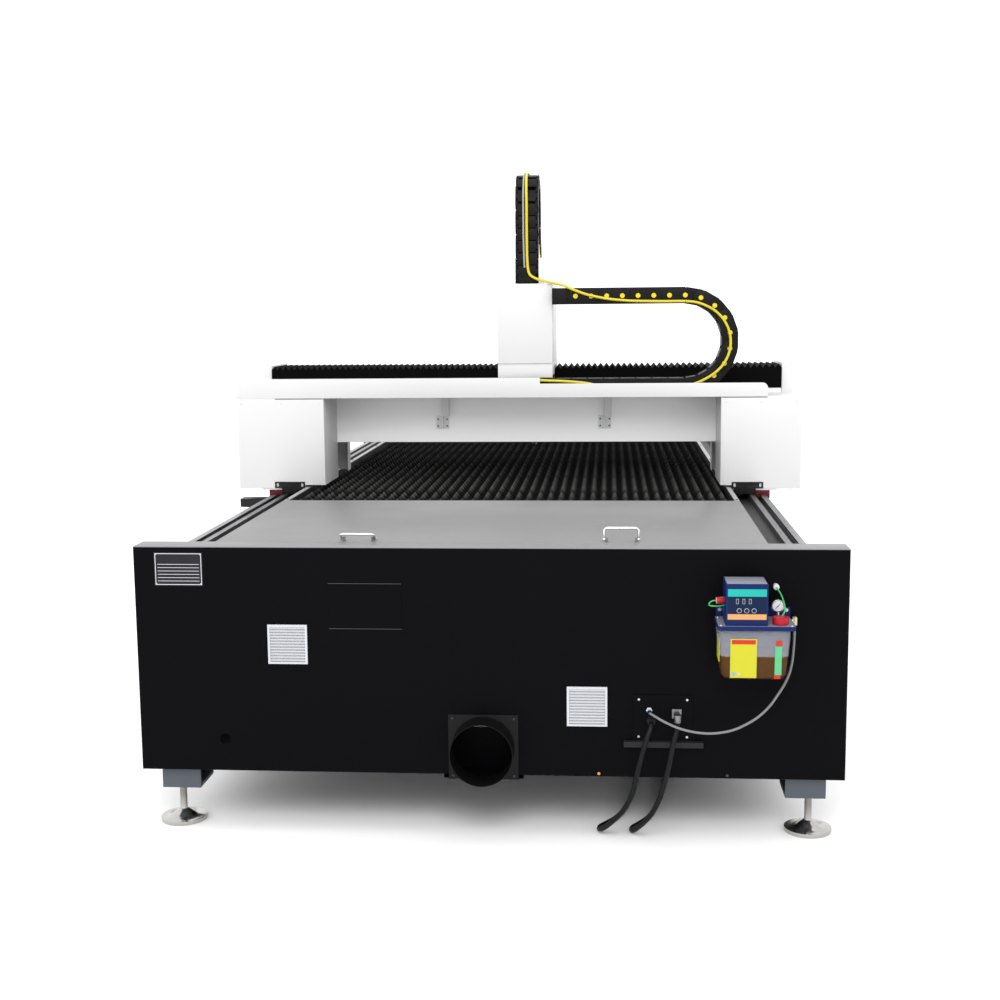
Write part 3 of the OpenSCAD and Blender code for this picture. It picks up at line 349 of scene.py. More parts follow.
def shadeRows(material):  # painted light on the near rows and painted shade deepening towards the far end under the gantry's shadow, and each strip burnt its own way
    rows = slatRows
    tree, color, base = baseColor(material)
    along = maths(tree, "SUBTRACT", ownPlace(tree)["Y"], rows["start"])
    strip = addNode(tree, "ShaderNodeTexWhiteNoise", noise_dimensions="1D")
    link(tree, maths(tree, "FLOOR", maths(tree, "DIVIDE", along, rows["pitch"])), strip.inputs["W"])
    ramp = addNode(tree, "ShaderNodeValToRGB")
    reach = rows["far"] - rows["start"]
    link(tree, maths(tree, "DIVIDE", along, reach), ramp.inputs["Fac"])
    while len(ramp.color_ramp.elements) < len(rows["stops"]):
        ramp.color_ramp.elements.new(0.5)
    for stop, (y, tone) in zip(ramp.color_ramp.elements, rows["stops"]):
        stop.position = (y - rows["start"]) / reach
        stop.color = (tone, tone, tone, 1)
    color = tinted(tree, color, ramp.outputs["Color"])
    color = tinted(tree, color, mapped(tree, strip.outputs["Value"], *rows["spread"], 0.0, 1.0))
    link(tree, color, base)


oilLine = {"level": 0.647, "blur": 0.002, "color": (0.08, 0.04, 0.014, 1), "alpha": 0.28}  # metres


def fillTank(material):  # a clear wall that takes the oil's colour below its level
    tree, color, base = baseColor(material)
    tree.nodes["Principled BSDF"].inputs["Alpha"].default_value = oilLine["alpha"]
    ends = oilLine["level"] - oilLine["blur"], oilLine["level"] + oilLine["blur"]
    mix = addNode(tree, "ShaderNodeMix", data_type="RGBA")
    link(tree, mapped(tree, ownPlace(tree)["Z"], 0.0, 1.0, *ends), mix.inputs["Factor"])
    mix.inputs["A"].default_value = oilLine["color"]
    link(tree, color, mix.inputs["B"])
    link(tree, mix.outputs["Result"], base)


# the first blade of the left and right grille and its pitch in metres, the tones of the painted shade on each
# blade, the frame's depth in millimetres
blades = {"start": (0.582, 0.386), "between": (-0.3, 0.0), "pitch": 0.009667, "shade": 0.55,
          "edge": (0.36, 0.46), "frame": 6.6}


def bladeLines(material):  # painted shade on the lower part of every louvre blade, where the gaps between the blades lie in shade
    tree, color, base = baseColor(material)
    spot = ownPlace(tree)
    start = mapped(tree, spot["X"], *blades["start"], *blades["between"])
    turn = maths(tree, "DIVIDE", maths(tree, "SUBTRACT", spot["Z"], start), blades["pitch"])
    line = mapped(tree, maths(tree, "FRACT", turn), blades["shade"], 1.0, *blades["edge"])
    link(tree, tinted(tree, color, line), base)


shadeRows(finish["slatSteel"])
fillTank(finish["tankClear"])
bladeLines(finish["ventBlade"])


def makeFloor():
    bm = bmesh.new()
    bmesh.ops.create_grid(bm, x_segments=1, y_segments=1, size=studio["floorSize"] / 2)
    mesh = bpy.data.meshes.new("floor")
    bm.to_mesh(mesh)
    bm.free()
    floor = bpy.data.objects.new("floor", mesh)
    floor.location.z = -studio["floorDrop"]
    floor.data.materials.append(finish["floorPale"])
    scene.collection.objects.link(floor)


makeFloor()
print("finishes:", len(finish))


# mesh helpers
def roundOff(bm, edges, width, segments=2, profile=0.5):
    bmesh.ops.bevel(bm, geom=edges, offset=width, segments=segments, profile=profile, affect="EDGES",
                    clamp_overlap=True)


def addBox(bm, low, high, edge=0.0, kind=0):
    low, high = Vector(low), Vector(high)
    size = high - low
    placed = Matrix.Translation((low + high) / 2) @ Matrix.Diagonal((*size, 1))
    made = bmesh.ops.create_cube(bm, size=1.0, matrix=placed)["verts"]
    for face in {f for v in made for f in v.link_faces}:
        face.material_index = kind
    if edge:
        edges = list({e for v in made for e in v.link_edges})
        roundOff(bm, edges, edge, 3)


def addRod(bm, start, end, radius, endRadius=None, sides=28, kind=0, edge=0.0):
    start, end = Vector(start), Vector(end)
    way = end - start
    turn = way.to_track_quat("Z", "Y").to_matrix().to_4x4()
    placed = Matrix.Translation((start + end) / 2) @ turn
    made = bmesh.ops.create_cone(bm, cap_ends=True, segments=sides, radius1=radius,
                                 radius2=radius if endRadius is None else endRadius,
                                 depth=way.length, matrix=placed)["verts"]
    for face in {f for v in made for f in v.link_faces}:
        face.material_index = kind
    if edge:
        rims = [e for e in {e for v in made for e in v.link_edges} if len(e.link_faces) == 2
                and any(len(f.verts) > 4 for f in e.link_faces)]
        roundOff(bm, rims, edge)


def smoothRoute(points, step=0.012):  # a smooth curve through the given points
    points = [Vector(p) for p in points]
    ends = [2 * points[0] - points[1]] + points + [2 * points[-1] - points[-2]]
    route = []
    for a, b, c, d in zip(ends, ends[1:], ends[2:], ends[3:]):
        count = max(2, round((c - b).length / step))
        for i in range(count):
            t = i / count
            route.append(0.5 * (2 * b + (c - a) * t + (2 * a - 5 * b + 4 * c - d) * t * t
                                + (3 * b - a - 3 * c + d) * t ** 3))
    return route + [points[-1]]


def routeLength(points):
    return sum((b - a).length for a, b in zip(points, points[1:]))


def joinRings(bm, rings, kind=0, openTop=False):  # a skin over rings of points
    faces = []
    for low, high in zip(rings, rings[1:]):
        count = len(low)
        for k in range(count):
            n = (k + 1) % count
            faces.append(bm.faces.new((low[k], low[n], high[n], high[k])))
    faces.append(bm.faces.new(list(reversed(rings[0]))))
    if not openTop:
        faces.append(bm.faces.new(rings[-1]))
    for face in faces:
        face.material_index = kind


def addTube(bm, points, radius, sides=12, kind=0):
    points = [Vector(p) for p in points]
    side = None
    rings = []
    for i, p in enumerate(points):
        way = (points[min(i + 1, len(points) - 1)] - points[max(i - 1, 0)]).normalized()
        if side is None:
            side = way.orthogonal().normalized()
        side = (side - way * side.dot(way)).normalized()
        other = way.cross(side)
        rings.append([bm.verts.new(p + radius * (math.cos(a) * side + math.sin(a) * other))
                      for a in (2 * math.pi * k / sides for k in range(sides))])
    joinRings(bm, rings, kind)


def newPiece(name, bm, materials, smooth=35):
    bmesh.ops.recalc_face_normals(bm, faces=bm.faces[:])
    mesh = bpy.data.meshes.new(name)
    bm.to_mesh(mesh)
    bm.free()
    mesh.shade_smooth()
    mesh.set_sharp_from_angle(angle=math.radians(smooth))
    piece = bpy.data.objects.new(name, mesh)
    for material in materials:
        mesh.materials.append(finish[material])
    scene.collection.objects.link(piece)
    return piece


def place(piece, body, slot, *replaced):
    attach(piece, body)
    if replaced:
        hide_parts(*replaced)
    return piece


def solidCopy(node):  # a node's own solid, welded and with its flat faces whole
    bm = bmesh.new()
    bm.from_mesh(cadNodes[node].data)
    bmesh.ops.remove_doubles(bm, verts=bm.verts[:], dist=1e-5)
    bmesh.ops.dissolve_limit(bm, angle_limit=math.radians(0.5), verts=bm.verts[:], edges=bm.edges[:])
    return bm


def softEdges(bm, width, least=40):
    sharp = [e for e in bm.edges if len(e.link_faces) == 2 and e.calc_face_angle(0) > math.radians(least)]
    roundOff(bm, sharp, width, profile=0.6)


pieceNames = {"y_motors": "driveMotors", "screws": "panelScrews", "vents": "ventGrilles"}


def pieceName(node):  # end_caps becomes endCaps
    first, *rest = node.split("_")
    return pieceNames.get(node, first + "".join(word.capitalize() for word in rest))


# a copy with softened edges, a finish for each face by where its middle lies, and added detail
def dressed(node, materials, slot, body, edge=1.0, choose=None, extras=None):
    bm = solidCopy(node)
    if edge:
        softEdges(bm, mm(edge))
    if choose:
        for face in bm.faces:
            face.material_index = choose(face.calc_center_median())
    if extras:
        extras(bm)
    return place(newPiece(pieceName(node), bm, materials), body, slot, node)


def onNode(node, material):  # the CAD solid itself, with a finish of its own
    data = cadNodes[node].data
    data.materials.clear()
    data.materials.append(finish[material])


# cords
cords = {
    "hose": {"diameter": 8, "route": [
        [977, -30, 724], [977, -30, 712], [977, -31, 691], [975, -33, 651], [971, -38, 612], [963, -45, 576],
        [952, -54, 552], [939, -62, 530], [923, -68, 507], [899, -75, 474], [863, -81, 440], [822, -86, 415],
        [782, -89, 398], [744, -90, 390], [707, -90, 387], [659, -88, 391], [611, -82, 402], [566, -72, 420],
        [541, -61, 432], [527, -48, 437], [525, -34, 437]]},
    "supply": {"diameter": 17, "side": 1, "route": [
        [531, -38, 403], [531, -52, 403], [528, -64, 392], [519, -73, 372], [511, -77, 346], [500, -78, 308],
        [487, -76, 253], [475, -66, 189], [462, -56, 151], [443, -40, 111], [417, -16, 73], [391, 14, 38],
        [372, 40, 16], [365, 64, 9], [370, 86, 9], [388, 112, 9], [418, 160, 9], [446, 232, 9], [468, 333, 9],
        [484, 438, 9], [495, 530, 9], [500, 630, 9], [500, 690, 9]]},
    "control": {"diameter": 17, "side": -1, "route": [
        [613, -60, 412], [613, -60, 398], [608, -66, 378], [600, -74, 350], [592, -78, 310], [583, -76, 262],
        [565, -66, 184], [553, -56, 146], [534, -40, 102], [512, -16, 65], [490, 16, 32], [476, 40, 14],
        [471, 62, 9], [477, 84, 9], [495, 112, 9], [520, 154, 9], [542, 212, 9], [567, 318, 9], [585, 422, 9],
        [600, 530, 9], [610, 630, 9], [610, 690, 9]]},
    "coil": {"outer": 120.5, "inner": 83.7, "centreY": 760, "turns": 2, "climb": 60, "low": 9, "high": 26,
             "tail": 130, "plugHeight": 20,
             # from, to, radii, edge
             "plug": [(0, 24, 11, 15, 0), (24, 60, 19.5, 19.5, 2), (60, 80, 16, 16, 1)],
             "pins": {"count": 3, "ring": 8, "start": 72, "length": 8, "radius": 2.5}},
}


def coilTurns(entryX, side):  # two turns in on the floor, up a layer, two turns out, and off to the plug
    c = cords["coil"]
    centre = entryX - side * c["outer"]
    inward = 360 * c["turns"]
    points = []
    for degree in range(0, 2 * inward + 1, 10):
        if degree <= inward + c["climb"]:
            radius = c["outer"] + (c["inner"] - c["outer"]) * degree / (inward + c["climb"])
        else:
            share = (degree - inward - c["climb"]) / (inward - c["climb"])
            radius = c["inner"] + (c["outer"] - c["inner"]) * share
        rise = min(max((degree - inward) / c["climb"], 0), 1)
        height = c["low"] + (c["high"] - c["low"]) * rise * rise * (3 - 2 * rise)
        angle = math.radians(degree)
        x, y = centre + side * radius * math.cos(angle), c["centreY"] + radius * math.sin(angle)
        points.append([x, y, height])
    points.append([entryX, c["centreY"] + c["tail"] * 0.6, c["high"] - 3])
    points.append([entryX, c["centreY"] + c["tail"], c["plugHeight"]])
    return points


def makeCord(name, points, diameter, material):
    curve = bpy.data.curves.new(name, "CURVE")
    curve.dimensions = "3D"
    curve.bevel_depth = mm(diameter) / 2
    curve.bevel_resolution = 4
    curve.use_fill_caps = True
    spline = curve.splines.new("POLY")
    spline.points.add(len(points) - 1)
    for point, place3d in zip(spline.points, points):
        point.co = (*place3d, 1)
    curve.materials.append(finish[material])
    piece = bpy.data.objects.new(name, curve)
    scene.collection.objects.link(piece)
    return piece


def makePlug(name, entryX):
    c = cords["coil"]
    y, z = c["centreY"] + c["tail"], c["plugHeight"]
    bm = bmesh.new()
    for start, end, radius, endRadius, edge in c["plug"]:
        addRod(bm, at(entryX, y + start, z), at(entryX, y + end, z), mm(radius), mm(endRadius), edge=mm(edge))
    pins = c["pins"]
    for i in range(pins["count"]):
        a = 2 * math.pi * i / pins["count"]
        pin = at(entryX + pins["ring"] * math.cos(a), y + pins["start"], z + pins["ring"] * math.sin(a))
        addRod(bm, pin, pin + Vector((0, mm(pins["length"]), 0)), mm(pins["radius"]), sides=12, kind=1)
    return newPiece(name, bm, ["cableBlack", "brass"])


def makeCords():
    route = smoothRoute([at(*p) for p in cords["hose"]["route"]])
    hose = makeCord("oilHose", route, cords["hose"]["diameter"], "hoseGrey")
    place(hose, "bed", "hose_grey", "oil_hose")
    points = [Vector(p.co[:3]) for p in hose.data.splines[0].points]
    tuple(points[0])
    routeLength(points)
    for name, node in (("supply", "supply_cable"), ("control", "control_cable")):
        c = cords[name]
        entryX = c["route"][-1][0]
        points = smoothRoute([at(*p) for p in c["route"] + coilTurns(entryX, c["side"])])
        cable = makeCord(name + "Cable", points, c["diameter"], "cableBlack")
        plug = makePlug(name + "Plug", entryX)
        place(plug, "bed", "cable_black", "cable_ends")
        place(cable, "bed", "cable_black", node)
        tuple(points[0])
        routeLength(points)


makeCords()
print("cords are laid")


# plain solids that keep their CAD form
plain = {
    "bed_frame": "frameDark", "slat_lips": "lipGrey", "slats": "slatSteel", "racks": "rackSteel",
    "access_cover": "panelBlack", "name_plate": "plateDark", "x_rails": "railSteel", "y_pinion_left": "rackSteel",
    "y_pinion_right": "rackSteel", "x_pinion": "rackSteel", "rails": "railSteel", "pump_oil": "oilAmber",
    "bed_panels": "panelBlack", "rear_panel": "panelBlack", "drawer_rear": "slate", "drawer_front": "slate",
}
for node, material in plain.items():
    onNode(node, material)

# sheet metal and machined pieces with softened edges
soft = [
    ("end_caps", "deckGrey", "grey_paint", "bed", 1.0),
    ("rear_deck", "deckGrey", "grey_paint", "bed", 1.0),
    ("foot_brackets", "slate", "slate_paint", "bed", 2.0),
    ("levelling_feet", "footSteel", "steel", "bed", 1.5),
    ("exhaust_duct", "ductBlack", "duct_plastic", "bed", 0.6),
    ("gantry_beam", "beamWhiteLit", "white_paint", "gantry", 3.0),
    ("end_covers", "gantryWhite", "white_paint", "gantry", 1.2),
    ("wiper_plates", "sheetBlack", "black_paint", "gantry", 0.6),
    ("chain_tray", "gantryWhite", "white_paint", "gantry", 0.9),
    ("chain_arm", "sheetBlack", "black_paint", "gantry", 2.0),
    ("y_motors", "motorBlack", "motor_black", "gantry", 3.0),
    ("carriage_plate", "gantryWhite", "white_paint", "carriage", 2.0),
    ("carriage_motors", "motorBlack", "motor_black", "carriage", 3.0),
    ("z_slide", "headMetal", "steel", "head", 1.5),
    ("cutting_head", "headMetal", "head_metal", "head", 1.5),
    ("filler_cap", "capRed", "red_plastic", "filler_cap", 3.0),
]
for node, material, slot, body, edge in soft:
    dressed(node, [material], slot, body, edge)
print("solids dressed:", len(plain) + len(soft))

# handles
handles = {"width": 112, "height": 37, "rod": 4, "bend": 12, "y": 125, "z": 969,
           "lean": {"left": 60, "right": 0}, "x": {"left": -429, "right": 436},
           "pin": {"inner": 12.5, "outer": 3, "radius": 3}, "boss": {"half": 4.5, "radius": 5, "edge": 0.8}}


def makeHandles():
    h, pin, boss = handles, handles["pin"], handles["boss"]
    for side in ("left", "right"):
        half = h["width"] / 2
        corner = [Vector((-half + h["bend"] * (1 - math.cos(a)), 0, h["height"] - h["bend"] * (1 - math.sin(a))))
                  for a in (math.pi / 2 * i / 6 for i in range(7))]
        path = [Vector((-half, 0, 0))] + corner
        path = path + [Vector((-p.x, 0, p.z)) for p in reversed(path)]
        turn = Matrix.Rotation(math.radians(h["lean"][side]), 3, "X")
        centre = Vector((h["x"][side], h["y"], h["z"]))
        bm = bmesh.new()
        addTube(bm, [at(*(centre + turn @ p)) for p in path], mm(h["rod"]), 16)
        for s in (-1, 1):
            inner = centre + turn @ Vector((s * (half - pin["inner"]), 0, 0))
            outer = centre + turn @ Vector((s * (half + pin["outer"]), 0, 0))
            addRod(bm, at(*inner), at(*outer), mm(pin["radius"]), sides=16)
            inner = centre + Vector((s * (half - boss["half"]), 0, 0))
            outer = centre + Vector((s * (half + boss["half"]), 0, 0))
            addRod(bm, at(*inner), at(*outer), mm(boss["radius"]), sides=20, edge=mm(boss["edge"]))
        piece = newPiece("handle" + side.capitalize(), bm, ["chrome"])
        place(piece, "handle_" + side, "chrome", "handle_" + side)


makeHandles()

# bearing blocks with red end seals
blocks = {"length": 102, "seal": 5.5, "slack": 1}


def makeBlocks():
    ends = sorted({round(v.co.y, 4) for v in cadNodes["bearing_blocks"].data.vertices})
    low, high = ends[0], ends[-1]
    length, slack = mm(blocks["length"]), mm(blocks["slack"])

    def choose(middle):
        for start in (low, high - length):
            if start - slack <= middle.y <= start + length + slack:
                inside = min(middle.y - start, start + length - middle.y)
                return 1 if inside < mm(blocks["seal"]) else 0
        return 0
    dressed("bearing_blocks", ["railSteel", "sealRed"], "steel", "gantry", 0.5, choose)


makeBlocks()

# cable chains, with yellow caps at the pivots of the cross chain
chains = {
    "cross": {"fixed": 100, "bend": 710, "low": 1351, "height": 68, "radius": 189, "front": 1520, "pitch": 65,
              "start": 189.3, "cap": 11.5, "capProud": 0.5},
    "long": {"fixed": 2430, "bend": 3010, "start": 2050},
    "stand": {"rear": 1630, "front": 1830, "x": 48, "low": 1817, "top": 2152, "radius": 100,
              "wires": (-34, -17, 0, 17, 34), "wire": 9, "wireEnds": (2, 200, 120),
              "foot": {"wide": 42, "deep": 25, "gap": 0.3, "tall": 34, "edge": 1.5}},
}


def chainCopy(node, name, extra=None):
    bm = solidCopy(node)
    softEdges(bm, mm(0.9), 60)
    if extra:
        extra(bm)
    piece = newPiece(name, bm, ["chainBlack", "dotYellow"])
    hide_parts(node)
    return piece


def pivotCaps(places):  # round caps on the face that looks to the rear
    c = chains["cross"]

    def add(bm):
        for x, z in places:
            addRod(bm, at(x, c["front"] + 1, z), at(x, c["front"] - c["capProud"], z),
                   mm(c["cap"]), mm(c["cap"] * 0.8), sides=20, kind=1)
    return add


def makeCrossChain():
    c = chains["cross"]
    middle = c["low"] + c["height"] / 2
    top = middle + 2 * c["radius"]

    def along(first, last):
        count = round((last - first) / c["pitch"])
        return [first + (last - first) * i / count for i in range(count + 1)]
    turns = round(math.pi * c["radius"] / c["pitch"])
    bend = [(c["bend"] + c["radius"] * math.sin(a), middle + c["radius"] * (1 - math.cos(a)))
            for a in (math.pi * i / turns for i in range(turns + 1))]
    caps = pivotCaps([(x, middle) for x in along(c["fixed"], c["bend"])[:-1]])
    lower = chainCopy("x_chain_lower", "crossChainLower", caps)
    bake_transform(lower)
    loop = chainCopy("x_chain_loop", "crossChainBend", pivotCaps(bend))
    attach(loop, "x_loop")
    caps = pivotCaps([(x, top) for x in along(c["start"], c["bend"])[1:-1]])
    upper = chainCopy("x_chain_upper", "crossChainUpper", caps)
    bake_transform(upper)


def makeLongChain():
    lower = chainCopy("y_chain_lower", "longChainLower")
    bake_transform(lower)
    loop = chainCopy("y_chain_loop", "longChainBend")
    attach(loop, "y_loop")
    upper = chainCopy("y_chain_upper", "longChainUpper")
    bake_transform(upper)


def makeStandingChain():
    z = chains["stand"]
    standing = chainCopy("z_chain", "standingChain")
    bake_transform(standing)
    bm = bmesh.new()
    lift, rearDrop, frontDrop = z["wireEnds"]
    for dx in z["wires"]:  # cables inside the standing chain
        x, r = z["x"] + dx, z["radius"]
        path = [at(x, z["rear"], z["low"] + lift), at(x, z["rear"], z["top"] - rearDrop)]
        path += [at(x, (z["rear"] + z["front"]) / 2 - r * math.cos(a), z["top"] + r * math.sin(a))
                 for a in (math.pi * i / 16 for i in range(17))]
        addTube(bm, path + [at(x, z["front"], z["top"] - frontDrop)], mm(z["wire"]), 12)
    wires = newPiece("standingWires", bm, ["cableBlack"])
    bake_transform(wires)
    bm = bmesh.new()
    foot = z["foot"]
    low = at(z["x"] - foot["wide"], z["rear"] - foot["deep"], z["low"] + foot["gap"])
    high = at(z["x"] + foot["wide"], z["rear"] + foot["deep"], z["low"] + foot["tall"])
    addBox(bm, low, high, mm(foot["edge"]))
    place(newPiece("standingFoot", bm, ["chainBlack"]), "carriage", "chain_plastic")


makeCrossChain()
makeLongChain()
makeStandingChain()
print("chains are linked")

# pleated covers either side of the carriage
bellows = {"left": (-1109, -76.5), "right": (156.5, 1143)}


def makeBellows():
    for side, (low, high) in bellows.items():
        node = "bellows_" + side
        bm = solidCopy(node)
        piece = newPiece("bellows" + side.capitalize(), bm, ["pleatBlack"], 20)
        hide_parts(node)
        ends = (low, high) if side == "left" else (high, low)
        at(ends[0], 0, 0)
        at(ends[1], 0, 0)
        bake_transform(piece)


makeBellows()

# yellow fibre from the tray round the chains and into the head
fibre = {
    "radius": 5.5,
    "upper": [
        [45, 1730, 2288], [45, 1690, 2282], [45, 1650, 2262], [46, 1620, 2232], [47, 1600, 2192],
        [48, 1594.5, 2145], [48, 1594.5, 2015], [50, 1594.5, 1910], [58, 1592, 1860], [84, 1580, 1840],
        [120, 1560, 1828], [165, 1528, 1818], [205, 1514, 1808], [240, 1514, 1792], [300, 1514, 1770],
        [370, 1514, 1754], [440, 1514, 1745], [500, 1514, 1741], [600, 1514, 1738.5], [709, 1514, 1738]],
    "head": [
        [46, 1734, 2288], [50, 1770, 2282], [60, 1810, 2262], [72, 1840, 2232], [82, 1860, 2192],
        [88, 1868, 2145], [90, 1868, 2065], [92, 1878, 1985], [94, 1920, 1915], [94, 1985, 1876],
        [94, 2060, 1838], [94, 2115, 1785], [90, 2165, 1725], [80, 2200, 1670], [60, 2222, 1620],
        [44, 2227.3, 1575], [40, 2227.3, 1550], [40, 2227.3, 1532]],
    "bend": {"x": 710, "y": 1514, "z": 1574,
             "radii": [164, 165, 168, 174, 180, 185, 188, 189, 187, 183, 180, 182, 188]},
    "tray": [
        [104, 1511, 1414], [140, 1511, 1412], [190, 1511, 1410], [250, 1511, 1406], [310, 1511, 1399],
        [350, 1511, 1388], [372, 1511, 1376], [420, 1511, 1366], [520, 1511, 1364], [620, 1512, 1368],
        [670, 1513, 1376], [707, 1514, 1385]],
    "grey": {"radius": 4, "route": [
        [34, 1732, 2286], [34, 1690, 2280], [34, 1651, 2260], [34, 1622, 2231], [34, 1602, 2191],
        [34, 1596, 2145], [34, 1596, 2020], [36, 1596, 1930], [38, 1597, 1885]]},
}


def fibrePiece(name, points, radius=fibre["radius"], material="fibreYellow"):
    bm = bmesh.new()
    addTube(bm, smoothRoute([at(*p) for p in points], 0.008), mm(radius), 14)
    return newPiece(name, bm, [material], 60)


def makeFibre():
    f = fibre
    upper = fibrePiece("fibreUpper", f["upper"])
    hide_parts("fibre_upper")
    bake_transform(upper)
    head = fibrePiece("fibreHead", f["head"])
    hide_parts("fibre_head")
    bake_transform(head)
    b = f["bend"]
    steps = len(b["radii"]) - 1
    arc = [[b["x"] + r * math.sin(math.pi * i / steps), b["y"], b["z"] + r * math.cos(math.pi * i / steps)]
           for i, r in enumerate(b["radii"])]
    place(fibrePiece("fibreBend", arc), "x_loop", "fibre_yellow", "fibre_loop")
    tray = fibrePiece("fibreInTray", f["tray"])
    at(f["tray"][0][0], 0, 0)
    at(b["x"], 0, 0)
    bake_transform(tray)
    cable = fibrePiece("standingCable", f["grey"]["route"], f["grey"]["radius"], "cableGrey")
    place(cable, "carriage", "hose_grey")


makeFibre()

# rear panel: bare name plate, fittings, screws
plate = {"low": (-1082, 831), "size": (161, 111), "line": 2.2, "rule": 1.5, "inset": 3.5, "rows": 6,
         "rowStart": 12, "rowPitch": 11, "rowInset": 8, "screwInset": 4}


def makeNamePlate():
    p = plate
    x1, z1 = p["low"][0] + p["inset"], p["low"][1] + p["inset"]
    x2, z2 = p["low"][0] + p["size"][0] - p["inset"], p["low"][1] + p["size"][1] - p["inset"]
    bm = bmesh.new()
    w = p["line"]
    for left, low, right, high in ((x1, z1, x2, z1 + w), (x1, z2 - w, x2, z2), (x1, z1 + w, x1 + w, z2 - w),
                                   (x2 - w, z1 + w, x2, z2 - w)):
        addBox(bm, at(left, -1.3, low), at(right, -0.9, high))
    for i in range(p["rows"]):
        z = z1 + p["rowStart"] + i * p["rowPitch"]
        addBox(bm, at(x1 + p["rowInset"], -1.25, z), at(x2 - p["rowInset"], -0.9, z + p["rule"]))
    for x in (x1 + p["screwInset"], x2 - p["screwInset"]):
        for z in (z1 + p["screwInset"], z2 - p["screwInset"]):
            addRod(bm, at(x, -0.8, z), at(x, -2.2, z), mm(2.2), mm(1.6), sides=16, kind=1)
    place(newPiece("namePlateRules", bm, ["plateLine", "screwSteel"]), "bed", "plate_metal")


makeNamePlate()


# where one finish gives way to the next, in metres
zones = {"pumpSide": 0.85, "connector": 0.56, "hoseFitting": 0.4185, "copper": 0.0138, "shelf": 0.334,
         "darkAbove": 0.9, "darkBeside": (0.2, 0.7), "earth": (0.364, 0.02, 0.25)}


def makeFittings():
    def choose(middle):
        if middle.x > zones["pumpSide"]:
            return 3
        if middle.x < zones["connector"] and middle.z > zones["hoseFitting"]:
            return 4 if middle.y > panelFace - zones["copper"] else 3
        return 1 if middle.x < zones["connector"] else 2

    def collar(bm):
        addRod(bm, at(525.2, -35, 437), at(526.6, -47, 436.6), mm(7.4), mm(6.2), sides=24, kind=5)
    dressed("bulkhead_fittings",
            ["screwSteel", "sheetBlack", "connectorGrey", "dialWhite", "copper", "pumpBlue"], "steel", "bed", 0.6,
            choose, collar)

    def shelf(middle):
        return 1 if middle.z < zones["shelf"] else 0
    dressed("cable_plate", ["panelBlack", "shelfGrey"], "black_paint", "bed", 0.5, shelf)

    def screwKind(middle):
        left, right = zones["darkBeside"]
        if middle.z > zones["darkAbove"] or middle.x < left or middle.x > right:
            return 1
        x, reach, top = zones["earth"]
        return 2 if abs(middle.x - x) < reach and middle.z < top else 0
    dressed("screws", ["screwSteel", "screwDark", "copper"], "steel", "bed", 0.8, screwKind)

    def blade(middle):
        return 1 if middle.y > panelFace - mm(blades["frame"]) else 0
    dressed("vents", ["ventWhite", "ventBlade"], "vent_plastic", "bed", 0.5, blade)
    bm = bmesh.new()
    low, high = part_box("access_cover")
    for z in (low[2], high[2]):  # painted highlights along the top and bottom edges of the flush cover
        addBox(bm, (low[0], low[1] - mm(0.3), z - mm(0.8)), (high[0], low[1] + mm(0.4), z + mm(0.8)))
    place(newPiece("accessRim", bm, ["rimHighlight"]), "bed", "black_paint")


makeFittings()

# tray brackets and the small screws of the white covers
trim = {"bracketX": (-341, 378), "bracketFront": 1783, "leafX": (-22, 18), "leafZ": (1199, 1229), "leafScrew": 4,
        "coverX": ((-1195, -820), (862, 1195)), "coverZ": (990, 1320), "coverFace": 1500, "coverInset": 18,
        "coverScrew": 3.6, "seams": ((-1030, -822), (864, 1052)), "seamZ": (1338.2, 1341.4)}


def makeTrim():
    t = trim

    def leafScrews(bm):
        for x in t["bracketX"]:
            for dx in t["leafX"]:
                for z in t["leafZ"]:
                    addRod(bm, at(x + dx, t["bracketFront"] + 1, z), at(x + dx, t["bracketFront"] - 2.5, z),
                           mm(t["leafScrew"]), mm(t["leafScrew"] * 0.8), sides=16, kind=1)
    dressed("tray_brackets", ["bracketPaintLit", "screwDark"], "steel", "gantry", 1.2,
            extras=leafScrews)
    bm = bmesh.new()
    face, radius, inset = t["coverFace"], mm(t["coverScrew"]), t["coverInset"]
    for x1, x2 in t["coverX"]:
        for x in (x1 + inset, (x1 + x2) / 2, x2 - inset):
            for z in t["coverZ"]:
                addRod(bm, at(x, face + 0.5, z), at(x, face - 2, z), radius, radius * 0.7, sides=16)
    for x1, x2 in t["seams"]:
        addBox(bm, at(x1, face - 0.4, t["seamZ"][0]), at(x2, face + 0.6, t["seamZ"][1]), kind=1)
    place(newPiece("coverTrim", bm, ["gantryWhite", "screwDark"]), "gantry", "white_paint")


makeTrim()


def coverZone(middle):  # the two arms on top of the carriage cover take the lighter bracket paint
    return 1 if middle.z > mm(chains["stand"]["low"] + 1) else 0


dressed("carriage_cover", ["gantryWhite", "bracketPaintLit"], "white_paint", "carriage", 1.4,
        coverZone)

# oil pump
pump = {"body": (753, 882), "front": -140, "back": -20, "low": 745, "top": 876, "lid": (728, 966), "lidLow": 731,
        "lidHigh": 745, "reach": -150, "bracket": ((734, -4, 732), (966, 0, 776)), "boltX": (745, 954),
        "boltZ": 767, "screwX": (739, 955), "screwY": (-138, -24),
        "fields": [((759, 837), (877, 860)), ((761, 782), (875, 837)), ((759, 765), (877, 782))],
        "keys": 3, "keyX": (794, 22.5), "keyZ": 793, "lampX": (788, 19.5), "lampZ": (814, 830)}
tank = {"x": (742, 944), "y": (-130, -16), "z": (573, 731), "flare": 11, "corner": 22, "tuck": 8, "wall": 2.5,
        "oil": {"inset": 3.2, "floor": 576, "top": 647, "corner": 19}}


def tankFlare(z):  # the tank widens upwards
    low, high = tank["z"]
    return tank["flare"] * (z - low) / (high - low)


